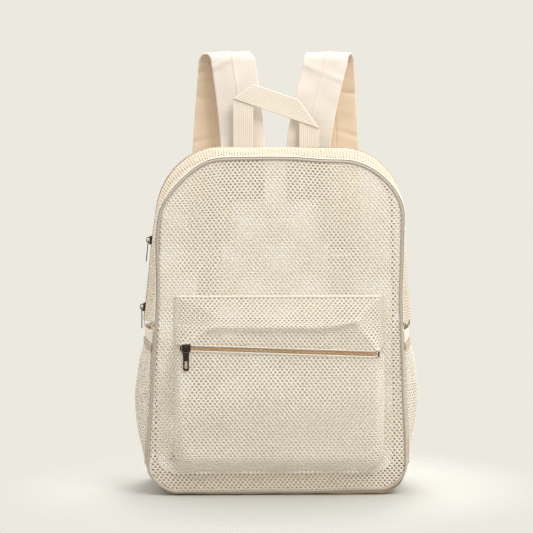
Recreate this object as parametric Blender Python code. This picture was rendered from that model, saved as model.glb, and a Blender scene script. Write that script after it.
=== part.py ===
"""Mesh beach backpack: an arched see-through body with a two-way zip in its gusset, a zipped front
pocket, two open side pockets, a webbing grab handle and two looped shoulder straps.

Metres, +Z up. The front faces -Y, the wearer's back lies at +Y, and the origin is the middle of the
flat underside. Cloth pieces are thin closed solids with about 0.3 mm between neighbours.
"""

import math

import bmesh
import bpy
import numpy as np
from mathutils import Matrix, Vector

# Body outline, seen from the front
BODY_HEIGHT = 0.406
BASE_WIDTH = 0.308
TOP_WIDTH = 0.297
BASE_CORNER = 0.033
TOP_CORNER = 0.074
SEAM_Y = 0.0655          # half the depth, to the middle of the piping
GUSSET_HALF = 0.0625     # the gusset's edge, just inside the piping
CLOTH = 0.0012
GAP = 0.0003

# Crown of the gusset: how far its middle stands out from the outline
CROWN_TOP = 0.011
CROWN_SHOULDER = 0.0025
ZIP_LOW_Z = 0.207        # lower end of the main zip on each side
ZIP_LOW_X = 0.1635       # its distance from the middle there
SIDE_PANEL_TOP = 0.200
SIDE_PANEL_CROWN = 0.0045

# Piping
PIPING_R = 0.0022
PIPING_INSET = 0.0023

# Zip chain, half widths across the chain
COIL_IN = 0.0007
COIL_OUT = 0.0029
COIL_PROUD = 0.0014
TAPE_IN = 0.0032
TAPE_OUT = 0.0117
TAPE_THICK = 0.0006
STRIP_IN = 0.0120

# Slider: heights are over the zip line, widths are halves
SLIDER_LENGTH = 0.0105
SLIDER_PLAN = ((-0.50, 0.0040), (-0.42, 0.0043), (0.10, 0.0047), (0.38, 0.0046), (0.50, 0.0041))
SLIDER_TOP = 0.0029
SLIDER_SHOULDER = 0.0020
SLIDER_BEVEL = 0.0008    # how far the top face is narrower than the shoulders
SLIDER_ROOF = 0.0017     # underside of the top plate
SLIDER_LIP = 0.0004      # lower edge of the side lips
SLIDER_LIP_IN = 0.0034
SLIDER_POST = 0.00035
SLIDER_FLOOR = -0.0010   # upper face of the bottom plate
SLIDER_UNDER = -0.0020
SLIDER_UNDER_IN = 0.0003
BAIL_AXIS = 0.0043       # height of the pull's crossbar over the zip line
BAIL_INNER = 0.0026
BAIL_OUTER = 0.0038
BAIL_HALF = 0.0008
BAIL_SQUASH = 0.72       # the bail is an oval, lower than it is long
BAIL_SINK = 0.0001

# Pull: half length, half width, corner radius and centre of its two holes
PULL_LENGTH = 0.0275
PULL_WIDTH = 0.0070
PULL_THICK = 0.0010
PULL_CORNER = 0.0022
PULL_HEAD = 0.0007       # from the crossbar's middle to the pull's upper end
PULL_EYE = (0.0023, 0.0017, 0.0006, -0.0031)
PULL_SLOT = (0.0046, 0.0017, 0.0016, -0.0198)
CUT_DEPTH = 0.004        # half the depth of every cutter

# Main sliders on the left side, by height
UPPER_SLIDER_Z = 0.304
LOWER_SLIDER_Z = 0.222

# Front pocket
POCKET_HALF = 0.126
POCKET_FLAT = 0.114      # half the straight run of its front
POCKET_TOP_Z = 0.240
POCKET_SHELF = ((0.0, 0.0), (0.45, 0.011), (0.85, 0.027), (1.0, 0.041))  # share of depth, drop
POCKET_BASE_Z = 0.030
POCKET_BASE_CORNER = 0.024
POCKET_Y = 0.091         # front of the pocket at the zip
POCKET_BELLY_Y = 0.098
POCKET_STEPS = (0.0, 0.2, 0.45, 0.7, 0.88, 1.0)  # down from the zip to the bottom seam
POCKET_BELLY_END = 0.9   # share of the way down where the belly ends
POCKET_FALL = 0.45       # share of the way down where the cloth starts back to the seam
POCKET_BACK_Y = 0.0668
POCKET_ZIP_Z = 0.1765    # zip height at mid width
POCKET_ZIP_TILT = math.radians(2.0)
POCKET_ZIP_HALF = 0.1165
POCKET_SLIDER_X = -0.111
ZIP_STOP = 0.0018
POCKET_HEM = 0.0070      # from the zip's middle to the cloth beside it

# Side pockets
SIDE_POCKET_BASE_Z = 0.036
SIDE_POCKET_TOP_Z = 0.1773
SIDE_POCKET_HALF = 0.0605
SIDE_POCKET_MOUTH = 0.0129
SIDE_POCKET_BULGE = 0.0130
SIDE_POCKET_SEAM = 0.0019
BINDING_Z = (0.1780, 0.1858)
ELASTIC_Z = (0.1865, 0.1995)

# Webbing, grab handle and shoulder straps
WEBBING = 0.0254
WEBBING_THICK = 0.0013
HANDLE_LEG_X = 0.041
HANDLE_Y = 0.0576
HANDLE_FOOT_Z = 0.4108
HANDLE_LEFT_FOLD_Z = 0.4767
HANDLE_TOP_Z = 0.4955
HANDLE_RIGHT_TOP_Z = 0.4757
HANDLE_RIGHT_FOLD_Z = 0.4425
HANDLE_NOTCH = 0.004     # how far the right fold reaches past the middle of its leg
HANDLE_GRIP = 0.0269     # height of the slanting grip, measured upright
HANDLE_HINGE_Z = 0.4102
STRAP_WIDTH = 0.056
STRAP_THICK = 0.0028
STRAP_X = 0.041
STRAP_FOOT_Z = 0.4135
STRAP_FOOT_Y = 0.0695
STRAP_FRONT_LEAN = 0.006  # how far the front leg leans back on its way up
STRAP_CREST_Z = 0.5385
STRAP_REAR_Y = 0.102
STRAP_END = (0.085, 0.097, 0.298)
STRAP_CREST_X = {"left": (0.053, 0.069), "right": (0.063, 0.073)}  # front leg, rear leg
ANCHOR_Z = (0.352, 0.380, 0.4105)
LOWER_ANCHOR = (0.098, 0.0712, 0.0600)
LOWER_TAB_HALF = 0.014
LOWER_TAB_SEAM = ((0.040, 0.022), (0.004, 0.014))  # past the anchor, height: outer and inner corner
LOWER_TAB_THICK = 0.0024

# Ladder lock: a frame with an upper slot for the strap's tab and a lower slot for the webbing
LOCK_WIDTH = 0.034
LOCK_THICK = 0.0032
LOCK_TOP_Z = 0.2935
LOCK_BASE_Z = 0.2675
LOCK_CORNER = 0.003
LOCK_SLOTS = {"tab": (0.0042, 0.0098), "web": (-0.0090, 0.0010)}  # from the frame's middle
LOCK_EASE = 0.0008
LOCK_TAB_Z = 0.2877      # top of the tab's turn through the upper slot
LOCK_BAR_Z = 0.2760      # the webbing's turn over the middle bar
WEB_TURN = 0.0015        # height of a turn of webbing or tab round a bar
TAB_SHARE = 0.8          # the tab's thickness as a share of the webbing's
TAIL_END_Z = 0.218
TAIL_FLARE = 0.004       # how far the tail's end stands off the webbing
WEB_START_Z = 0.2635

SIDES = {"left": -1.0, "right": 1.0}


def clear_scene():
    for obj in list(bpy.data.objects):
        bpy.data.objects.remove(obj, do_unlink=True)


def material(name, colour, roughness, metallic=0.0):
    """A Principled material; the colour is linear RGB."""
    made = bpy.data.materials.new(name)
    made.use_nodes = True
    shader = made.node_tree.nodes["Principled BSDF"]
    shader.inputs["Base Color"].default_value = (*colour, 1.0)
    shader.inputs["Roughness"].default_value = roughness
    shader.inputs["Metallic"].default_value = metallic
    return made


def link(name, mesh, finish, location=(0.0, 0.0, 0.0), turn=None):
    mesh.materials.append(finish)
    obj = bpy.data.objects.new(name, mesh)
    bpy.context.scene.collection.objects.link(obj)
    if turn is not None:
        obj.matrix_world = turn
    obj.location = location
    return obj


def closed_mesh(name, points, faces, smooth=False):
    """A closed mesh with its faces turned outwards."""
    mesh = bpy.data.meshes.new(name)
    mesh.from_pydata([tuple(p) for p in points], [], faces)
    work = bmesh.new()
    work.from_mesh(mesh)
    bmesh.ops.recalc_face_normals(work, faces=work.faces)
    work.to_mesh(mesh)
    work.free()
    if smooth:
        mesh.shade_smooth()
        mesh.set_sharp_from_angle(angle=math.radians(40))
    return mesh


def loft(name, rings, finish, loop=False, smooth=False, **place):
    """Rings of points joined into one body, with flat end caps unless the rings close into a loop."""
    rings = np.asarray(rings, float)
    count, around = rings.shape[:2]
    faces = []
    for i in range(count if loop else count - 1):
        here = i * around
        there = ((i + 1) % count) * around
        for j in range(around):
            k = (j + 1) % around
            faces.append((here + j, here + k, there + k, there + j))
    if not loop:
        faces.append(tuple(range(around))[::-1])
        faces.append(tuple(range((count - 1) * around, count * around)))
    mesh = closed_mesh(name, rings.reshape(-1, 3), faces, smooth)
    return link(name, mesh, finish, **place)


def prism(name, outline, low, high, axis, finish, **place):
    """An outline of (a, b) pairs carried along axis x, y or z, in the order that keeps x, y, z."""
    rings = []
    for level in (low, high):
        if axis == "x":
            rings.append([(level, a, b) for a, b in outline])
        elif axis == "y":
            rings.append([(a, level, b) for a, b in outline])
        else:
            rings.append([(a, b, level) for a, b in outline])
    return loft(name, rings, finish, **place)


def band(name, path, width, thickness, finish):
    """A flat strip along a path: its width lies along X, its thickness square to X and the path."""
    tangents = np.gradient(path, axis=0)
    face = np.cross(tangents, (1.0, 0.0, 0.0))
    face /= np.linalg.norm(face, axis=1)[:, None]
    wide = np.array((1.0, 0.0, 0.0))
    rings = [
        [p + wide * a + f * b for a, b in
         ((-width / 2, -thickness / 2), (width / 2, -thickness / 2),
          (width / 2, thickness / 2), (-width / 2, thickness / 2))]
        for p, f in zip(path, face)
    ]
    return loft(name, rings, finish)


def side_x(z):
    """Half width of the outline at a height between the two corner arcs."""
    share = (z - BASE_CORNER) / (BODY_HEIGHT - TOP_CORNER - BASE_CORNER)
    return BASE_WIDTH / 2 + (TOP_WIDTH - BASE_WIDTH) / 2 * share


def corner(centre, radius, start, end, steps):
    """(x, z, outward x, outward z) along an arc, angles in degrees from +X towards +Z."""
    angles = np.radians(np.linspace(start, end, steps + 1))
    return [(centre[0] + radius * math.cos(a), centre[1] + radius * math.sin(a),
             math.cos(a), math.sin(a)) for a in angles]


def outline_loop(offset, steps=7):
    """The closed outline of the body, moved outwards by offset, as (x, z) pairs."""
    base_x = BASE_WIDTH / 2 - BASE_CORNER
    top_x = TOP_WIDTH / 2 - TOP_CORNER
    top_z = BODY_HEIGHT - TOP_CORNER
    arcs = (((base_x, BASE_CORNER), BASE_CORNER, -90, 0), ((top_x, top_z), TOP_CORNER, 0, 90),
            ((-top_x, top_z), TOP_CORNER, 90, 180), ((-base_x, BASE_CORNER), BASE_CORNER, 180, 270))
    found = []
    for centre, radius, start, end in arcs:
        found += [(x + nx * offset, z + nz * offset)
                  for x, z, nx, nz in corner(centre, radius, start, end, steps)]
    return found


def zip_line_x(z):
    """Half width of the main zip's straight run up each side."""
    shoulder_z = BODY_HEIGHT - TOP_CORNER
    shoulder_x = TOP_WIDTH / 2 + CROWN_SHOULDER
    return ZIP_LOW_X + (shoulder_x - ZIP_LOW_X) * (z - ZIP_LOW_Z) / (shoulder_z - ZIP_LOW_Z)


def arch_stations(low_z, side_steps=3, corner_steps=9, top_steps=4):
    """(x, z, nx, nz, crown) from the left side's low_z over the top to the right side's."""
    shoulder_z = BODY_HEIGHT - TOP_CORNER
    right = []
    for z in np.linspace(low_z, shoulder_z, side_steps, endpoint=False):
        right.append((side_x(z), z, 1.0, 0.0, zip_line_x(z) - side_x(z)))
    centre = (TOP_WIDTH / 2 - TOP_CORNER, shoulder_z)
    for i, (x, z, nx, nz) in enumerate(corner(centre, TOP_CORNER, 0, 90, corner_steps)):
        t = i / corner_steps
        rise = t * t * (3 - 2 * t)
        right.append((x, z, nx, nz, CROWN_SHOULDER + (CROWN_TOP - CROWN_SHOULDER) * rise))
    middle = [(x, BODY_HEIGHT, 0.0, 1.0, CROWN_TOP)
              for x in np.linspace(centre[0], -centre[0], top_steps + 1)[1:-1]]
    left = [(-x, z, -nx, nz, c) for x, z, nx, nz, c in right]
    return left + middle[::-1] + right[::-1]


def strip_rise(y):
    """Share of the crown at a distance y from the zip: 1 at the zip, 0 at the seam."""
    share = max(abs(y) - STRIP_IN, 0.0) / (GUSSET_HALF - STRIP_IN)
    return 1.0 - share * share


def arch_band(name, y_values, outer, thickness, finish, low_z=ZIP_LOW_Z):
    """A cloth strip over the arch, from y_values[0] to y_values[-1]; outer is added to the crown."""
    rings = []
    for x, z, nx, nz, crown in arch_stations(low_z):
        top = [(y, crown * strip_rise(y) + outer) for y in y_values]
        ring = top + [(y, r - thickness) for y, r in reversed(top)]
        rings.append([(x + nx * r, y, z + nz * r) for y, r in ring])
    return loft(name, rings, finish)


def build_body_panels(mesh_cloth, base_cloth):
    inner = -(PIPING_INSET + PIPING_R + GAP)
    for name, low, high in (("front_panel", -SEAM_Y - CLOTH / 2, -SEAM_Y + CLOTH / 2),
                            ("back_panel", SEAM_Y - CLOTH / 2, SEAM_Y + CLOTH / 2)):
        prism(name, outline_loop(inner), low, high, "y", mesh_cloth)
    base_x = BASE_WIDTH / 2 - BASE_CORNER
    right = corner((base_x, BASE_CORNER), BASE_CORNER, -90, 0, 5)
    path = [(-x, z, -nx, nz) for x, z, nx, nz in reversed(right)] + right
    rings = [[(x + nx * r, y, z + nz * r)
              for y, r in ((-GUSSET_HALF, 0.0), (GUSSET_HALF, 0.0),
                           (GUSSET_HALF, -CLOTH), (-GUSSET_HALF, -CLOTH))]
             for x, z, nx, nz in path]
    loft("bottom_panel", rings, base_cloth)
    for side, sign in SIDES.items():
        rings = []
        for z in np.linspace(BASE_CORNER + GAP, SIDE_PANEL_TOP, 7):
            share = (z - BASE_CORNER) / (SIDE_PANEL_TOP - BASE_CORNER)
            crown = SIDE_PANEL_CROWN * share**1.2
            outer = [(y, crown * (1 - (y / GUSSET_HALF) ** 2))
                     for y in np.linspace(-GUSSET_HALF, GUSSET_HALF, 7)]
            ring = outer + [(y, r - CLOTH) for y, r in reversed(outer)]
            rings.append([(sign * (side_x(z) + r), y, z) for y, r in ring])
        loft(f"{side}_side_panel", rings, mesh_cloth)


def build_gusset(mesh_cloth, tape_cloth, coil_nylon):
    for where, sign in (("front", -1.0), ("rear", 1.0)):
        strip = [sign * y for y in np.linspace(STRIP_IN, GUSSET_HALF, 5)]
        arch_band(f"{where}_gusset_strip", strip, 0.0, CLOTH, mesh_cloth)
        tape = (sign * TAPE_IN, sign * TAPE_OUT)
        arch_band(f"main_zip_{where}_tape", tape, 0.0, TAPE_THICK, tape_cloth)
        coil = (sign * COIL_IN, sign * COIL_OUT)
        height = COIL_PROUD + TAPE_THICK / 3
        arch_band(f"main_zip_{where}_coil", coil, COIL_PROUD, height, coil_nylon)
    tab_low = SIDE_PANEL_TOP + 4 * GAP
    tab_high = ZIP_LOW_Z - 2 * GAP
    crown = ZIP_LOW_X - side_x(ZIP_LOW_Z)
    for side, sign in SIDES.items():
        outer = sign * (side_x(ZIP_LOW_Z) + crown)
        inner = sign * (side_x(ZIP_LOW_Z) + crown - 2 * CLOTH)
        outline = [(outer, -TAPE_OUT), (outer, TAPE_OUT), (inner, TAPE_OUT), (inner, -TAPE_OUT)]
        prism(f"{side}_zip_end_tab", outline, tab_low, tab_high, "z", tape_cloth)


def build_piping(satin):
    turn = np.radians(np.arange(0, 360, 60))
    for where, y in (("front", -SEAM_Y), ("rear", SEAM_Y)):
        centre = np.array(outline_loop(-PIPING_INSET))
        ahead = np.roll(centre, -1, axis=0) - np.roll(centre, 1, axis=0)
        ahead /= np.linalg.norm(ahead, axis=1)[:, None]
        rings = [[(x + dz * PIPING_R * math.cos(a), y + PIPING_R * math.sin(a),
                   z - dx * PIPING_R * math.cos(a)) for a in turn]
                 for (x, z), (dx, dz) in zip(centre, ahead)]
        loft(f"{where}_piping", rings, satin, loop=True, smooth=True)


def pocket_reach(x):
    """Share of the front pocket's depth at x: 1 over its flat run, 0 at its side seams."""
    past = max(abs(x) - POCKET_FLAT, 0.0) / (POCKET_HALF - POCKET_FLAT)
    return math.sqrt(max(1.0 - past * past, 0.0))


def pocket_zip_z(x):
    return POCKET_ZIP_Z - math.tan(POCKET_ZIP_TILT) * x


def pocket_stations():
    """x values of the pocket's cross-sections, closer together round its two ends."""
    bends = [POCKET_HALF - (POCKET_HALF - POCKET_FLAT) * (1 - math.sin(math.radians(a)))
             for a in (86, 66, 44, 22, 0)]
    flat = [POCKET_FLAT / 2, 0.0]
    half = bends + flat
    return [-x for x in half] + [x for x in reversed(half[:-1])]


def profile_band(name, profile_of, thickness, finish):
    """A cloth shell across the pocket: profile_of(x) gives its outer (y, z) line from the top down."""
    rings = []
    for x in pocket_stations():
        outer = np.array(profile_of(x))
        ahead = np.gradient(outer, axis=0)
        ahead /= np.linalg.norm(ahead, axis=1)[:, None]
        inward = np.stack([-ahead[:, 1], ahead[:, 0]], axis=1)
        inner = outer + inward * thickness
        inner[:, 0] = np.minimum(inner[:, 0], -POCKET_BACK_Y)
        ring = np.vstack([outer, inner[::-1]])
        rings.append([(x, y, z) for y, z in ring])
    return loft(name, rings, finish)


def upper_pocket_profile(x):
    """From the top seam, out over the shelf, round the crease and down to the zip."""
    depth = (POCKET_Y - POCKET_BACK_Y - CLOTH) * pocket_reach(x)
    profile = [(share, POCKET_TOP_Z - drop) for share, drop in POCKET_SHELF]
    profile.append((1.0, pocket_zip_z(x) + POCKET_HEM))
    return [(-POCKET_BACK_Y - CLOTH - depth * share, z) for share, z in profile]


def lower_pocket_profile(x):
    """From the zip, down over the belly and in to the bottom seam."""
    reach = pocket_reach(x)
    depth = (POCKET_Y - POCKET_BACK_Y - CLOTH) * reach + CLOTH
    belly = (POCKET_BELLY_Y - POCKET_Y) * reach
    top = pocket_zip_z(x) - POCKET_HEM
    lift = max(abs(x) - (POCKET_HALF - POCKET_BASE_CORNER), 0.0) / POCKET_BASE_CORNER
    base = POCKET_BASE_Z + POCKET_BASE_CORNER * (1 - math.sqrt(max(1 - lift * lift, 0.0)))
    found = []
    for t in POCKET_STEPS:
        swell = math.sin(math.pi * min(t / POCKET_BELLY_END, 1.0)) ** 2 * belly
        fall = 1.0 - (max(t - POCKET_FALL, 0.0) / (1.0 - POCKET_FALL)) ** 2
        found.append((-POCKET_BACK_Y - max(depth * fall, CLOTH) - swell, top + (base - top) * t))
    return found


def build_front_pocket(mesh_cloth, tape_cloth, coil_nylon, metal):
    profile_band("front_pocket_upper_panel", upper_pocket_profile, CLOTH, mesh_cloth)
    profile_band("front_pocket_lower_panel", lower_pocket_profile, CLOTH, mesh_cloth)
    turn = zip_frame()
    origin = Vector((0.0, -POCKET_Y, POCKET_ZIP_Z))
    tape_out = POCKET_HEM - GAP
    for where, sign in (("upper", 1.0), ("lower", -1.0)):
        tape = rectangle(sign * TAPE_IN, sign * tape_out, -TAPE_THICK, 0.0)
        prism(f"front_pocket_zip_{where}_tape", tape, -POCKET_ZIP_HALF, POCKET_ZIP_HALF, "x",
              tape_cloth, turn=turn, location=origin)
        coil = rectangle(sign * COIL_IN, sign * COIL_OUT, -TAPE_THICK / 3, COIL_PROUD)
        prism(f"front_pocket_zip_{where}_coil", coil, -POCKET_ZIP_HALF, POCKET_ZIP_HALF, "x",
              coil_nylon, turn=turn, location=origin)
    stop_in = POCKET_ZIP_HALF + GAP
    stop = rectangle(-COIL_OUT, COIL_OUT, -TAPE_THICK / 3, COIL_PROUD)
    for side, sign in SIDES.items():
        prism(f"front_pocket_zip_{side}_stop", stop, sign * stop_in, sign * (stop_in + ZIP_STOP), "x",
              metal, turn=turn, location=origin)


def rectangle(a, b, low, high):
    return [(a, low), (b, low), (b, high), (a, high)]


def frame_of(travel, outward):
    """A turn whose x is the travel direction and whose z is the outward one."""
    x = Vector(travel).normalized()
    z = Vector(outward).normalized()
    y = z.cross(x)
    return Matrix((x, y, z)).transposed().to_4x4()


def zip_frame():
    return frame_of((math.cos(POCKET_ZIP_TILT), 0.0, -math.sin(POCKET_ZIP_TILT)), (0.0, -1.0, 0.0))


def cutter(name, outline):
    """A hidden tool for Booleans: an outline carried along local z, past both faces of what it cuts."""
    found = prism(name, outline, -CUT_DEPTH, CUT_DEPTH, "z", bpy.data.materials["gunmetal"])
    found.hide_render = True
    found.display_type = "WIRE"
    return found


def boolean(target, tool, operation):
    modifier = target.modifiers.new(f"{operation.lower()} {tool.name}", "BOOLEAN")
    modifier.operation = operation
    modifier.object = tool


def rounded(half_x, half_y, radius, centre_x=0.0, steps=4):
    """A rounded rectangle as (x, y) pairs."""
    found = []
    for i, (sx, sy) in enumerate(((1, 1), (-1, 1), (-1, -1), (1, -1))):
        for a in np.radians(np.linspace(90 * i, 90 * (i + 1), steps + 1)):
            found.append((centre_x + sx * (half_x - radius) + radius * math.cos(a),
                          sy * (half_y - radius) + radius * math.sin(a)))
    return found


def slider(name, turn, location, finish, bail_across=False):
    """Two plates joined by a thin middle post, with a side lip over each coil and a bail on top."""
    rings = []
    for along, half in SLIDER_PLAN:
        under = half - SLIDER_UNDER_IN
        right = [(half - SLIDER_BEVEL, SLIDER_TOP), (half, SLIDER_SHOULDER), (half, SLIDER_LIP),
                 (SLIDER_LIP_IN, SLIDER_LIP), (SLIDER_LIP_IN, SLIDER_ROOF), (SLIDER_POST, SLIDER_ROOF),
                 (SLIDER_POST, SLIDER_FLOOR), (under, SLIDER_FLOOR), (under, SLIDER_UNDER)]
        ring = right + [(-y, z) for y, z in reversed(right)]
        rings.append([(along * SLIDER_LENGTH, y, z) for y, z in ring])
    body = loft(name, rings, finish)
    rings = []
    for a in np.radians(np.linspace(-52, 232, 13)):
        out = Vector((math.cos(a), 0.0, math.sin(a)))
        ring = []
        for r, w in ((BAIL_INNER, -BAIL_HALF), (BAIL_OUTER, -BAIL_HALF), (BAIL_OUTER, BAIL_HALF),
                     (BAIL_INNER, BAIL_HALF)):
            point = Vector((out.x * r, w, BAIL_AXIS - BAIL_SINK + out.z * r * BAIL_SQUASH))
            ring.append((-w, point.x, point.z) if bail_across else tuple(point))
        rings.append(ring)
    bail = loft(f"{name}_bail_tool", rings, finish)
    bail.hide_render = True
    bail.display_type = "WIRE"
    boolean(body, bail, "UNION")
    body.matrix_world = turn
    body.location = location
    bail.parent = body
    return body


def pull(name, turn, location, finish):
    """A flat tab hanging along local -x from its crossbar, which lies on the local y axis."""
    half = PULL_LENGTH / 2
    outline = rounded(half, PULL_WIDTH / 2, PULL_CORNER, PULL_HEAD - half)
    body = prism(name, outline, -PULL_THICK / 2, PULL_THICK / 2, "z", finish)
    for label, hole in (("eye", PULL_EYE), ("slot", PULL_SLOT)):
        tool = cutter(f"{name}_{label}_tool", rounded(*hole))
        boolean(body, tool, "DIFFERENCE")
        tool.parent = body
    body.matrix_world = turn
    body.location = location
    return body


def build_sliders(metal):
    turn = zip_frame()
    place = Vector((POCKET_SLIDER_X, -POCKET_Y, pocket_zip_z(POCKET_SLIDER_X)))
    slider("pocket_slider", turn, place, metal, bail_across=True)
    hang = frame_of((0.0, 0.0, 1.0), (0.0, -1.0, 0.0))
    pull("pocket_pull", hang, place + Vector((0.0, -BAIL_AXIS, 0.0)), metal)
    shoulder_z = BODY_HEIGHT - TOP_CORNER
    lean = math.atan2(zip_line_x(ZIP_LOW_Z) - zip_line_x(shoulder_z), shoulder_z - ZIP_LOW_Z)
    travel = (math.sin(lean), 0.0, math.cos(lean))
    outward = (-math.cos(lean), 0.0, math.sin(lean))
    turn = frame_of(travel, outward)
    upright = frame_of((0.0, 0.0, 1.0), (-1.0, 0.0, 0.0))
    for where, z, hang in (("upper", UPPER_SLIDER_Z, turn), ("lower", LOWER_SLIDER_Z, upright)):
        place = Vector((-zip_line_x(z), 0.0, z))
        slider(f"{where}_main_slider", turn, place, metal)
        pull(f"{where}_main_pull", hang, place + Vector(outward) * BAIL_AXIS, metal)


def side_pocket_reach(z, y):
    """How far the side pocket's outer face stands out from the body's outline."""
    t = (z - SIDE_POCKET_BASE_Z) / (SIDE_POCKET_TOP_Z - SIDE_POCKET_BASE_Z)
    swell = SIDE_POCKET_BULGE * math.sin(math.pi * min(t, 1.0)) ** 0.8 if 0 < t < 1 else 0.0
    stand = (SIDE_POCKET_MOUTH - SIDE_POCKET_SEAM) * min(t, 1.0) + swell
    return SIDE_POCKET_SEAM + stand * (1 - abs(y / SIDE_POCKET_HALF) ** 2.6)


def side_band(name, sign, z_values, extra, thickness, finish):
    """A strip of the side pocket's wall; extra moves its outer face out."""
    rings = []
    for z in z_values:
        outer = [(y, side_pocket_reach(z, y) + extra)
                 for y in np.linspace(-SIDE_POCKET_HALF, SIDE_POCKET_HALF, 11)]
        ring = outer + [(y, r - thickness) for y, r in reversed(outer)]
        rings.append([(sign * (side_x(z) + r), y, z) for y, r in ring])
    return loft(name, rings, finish)


def build_side_pockets(mesh_cloth, binding_cloth, elastic_cloth):
    for side, sign in SIDES.items():
        heights = np.linspace(SIDE_POCKET_BASE_Z, SIDE_POCKET_TOP_Z, 9)
        side_band(f"{side}_pocket_mesh", sign, heights, 0.0, CLOTH, mesh_cloth)
        side_band(f"{side}_pocket_binding", sign, BINDING_Z, GAP, 2 * GAP + CLOTH, binding_cloth)
        side_band(f"{side}_pocket_elastic", sign, ELASTIC_Z, 0.0, CLOTH, elastic_cloth)


def hang_on(name, place, pieces):
    """Parents pieces to an empty on their joint's axis, without moving them."""
    pivot = bpy.data.objects.new(name, None)
    pivot.location = place
    bpy.context.scene.collection.objects.link(pivot)
    for piece in pieces:
        piece.parent = pivot
        piece.matrix_parent_inverse = Matrix.Translation(place).inverted()


def build_handle(webbing_cloth):
    """One length of webbing, folded flat at both top corners so that the grip slants."""
    half = WEBBING / 2
    left_out = -HANDLE_LEG_X - half
    left_in = -HANDLE_LEG_X + half
    outline = [
        (left_out, HANDLE_FOOT_Z), (left_out, HANDLE_LEFT_FOLD_Z), (left_in, HANDLE_TOP_Z),
        (HANDLE_LEG_X - HANDLE_NOTCH, HANDLE_RIGHT_TOP_Z), (-left_out, HANDLE_RIGHT_FOLD_Z),
        (-left_out, HANDLE_FOOT_Z), (-left_in, HANDLE_FOOT_Z), (-left_in, HANDLE_RIGHT_TOP_Z - WEBBING),
        (left_in, HANDLE_TOP_Z - HANDLE_GRIP), (left_in, HANDLE_FOOT_Z),
    ]
    low = HANDLE_Y - WEBBING_THICK / 2
    handle = prism("grab_handle", outline, low, low + WEBBING_THICK, "y", webbing_cloth)
    hang_on("grab_handle_hinge", (0.0, HANDLE_Y, HANDLE_HINGE_Z), [handle])


def strap_path(side):
    """Centre line of a shoulder strap: up from its foot, round the crest and down to its lock.

    The crest is half a turn in the YZ plane, while x moves evenly from the front leg to the rear.
    """
    front_x, rear_x = STRAP_CREST_X[side]
    front_y = STRAP_FOOT_Y + STRAP_FRONT_LEAN
    radius = (STRAP_REAR_Y - front_y) / 2
    turn_z = STRAP_CREST_Z - radius
    points = []
    for t in np.linspace(0.0, 1.0, 7):
        x = STRAP_X + (front_x - STRAP_X) * t**1.4
        points.append((x, STRAP_FOOT_Y + STRAP_FRONT_LEAN * t * t,
                       STRAP_FOOT_Z + (turn_z - STRAP_FOOT_Z) * t))
    for t in np.linspace(0.0, 1.0, 9)[1:]:
        angle = math.pi * (1 - t)
        points.append((front_x + (rear_x - front_x) * t,
                       front_y + radius + radius * math.cos(angle),
                       turn_z + radius * math.sin(angle)))
    end_x, end_y, end_z = STRAP_END
    for t in np.linspace(0.0, 1.0, 7)[1:]:
        points.append((rear_x + (end_x - rear_x) * t, STRAP_REAR_Y + (end_y - STRAP_REAR_Y) * t,
                       turn_z + (end_z - turn_z) * t))
    return np.array(points) * (SIDES[side], 1.0, 1.0)


def build_ladder_lock(side, plastic):
    """A flat frame with an upper slot for the strap's tab and a lower slot for the webbing."""
    x, y, _ = STRAP_END
    centre = SIDES[side] * x
    half_z = (LOCK_TOP_Z - LOCK_BASE_Z) / 2
    middle_z = (LOCK_TOP_Z + LOCK_BASE_Z) / 2
    turn = frame_of((0.0, 0.0, 1.0), (0.0, 1.0, 0.0))
    frame = prism(f"{side}_ladder_lock", rounded(half_z, LOCK_WIDTH / 2, LOCK_CORNER),
                  -LOCK_THICK / 2, LOCK_THICK / 2, "z", plastic)
    for label, (low, high) in LOCK_SLOTS.items():
        slot = rounded((high - low) / 2, WEBBING / 2 + LOCK_EASE, LOCK_EASE, (low + high) / 2)
        tool = cutter(f"{side}_lock_{label}_tool", slot)
        boolean(frame, tool, "DIFFERENCE")
        tool.parent = frame
    frame.matrix_world = turn
    frame.location = (centre, y, middle_z)
    return frame


def build_lower_tab(side, strap_cloth):
    """A four-cornered cloth tab from the lower anchor down to the body's corner seam."""
    sign = SIDES[side]
    low_x, _, low_z = LOWER_ANCHOR
    top = low_z - LOWER_TAB_THICK * 0.75
    outline = [(sign * (low_x - LOWER_TAB_HALF), top), (sign * (low_x + LOWER_TAB_HALF), top)]
    outline += [(sign * (low_x + past), z) for past, z in LOWER_TAB_SEAM]
    low = SEAM_Y + PIPING_R + GAP
    prism(f"{side}_lower_tab", outline, low, low + LOWER_TAB_THICK, "y", strap_cloth)


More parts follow.
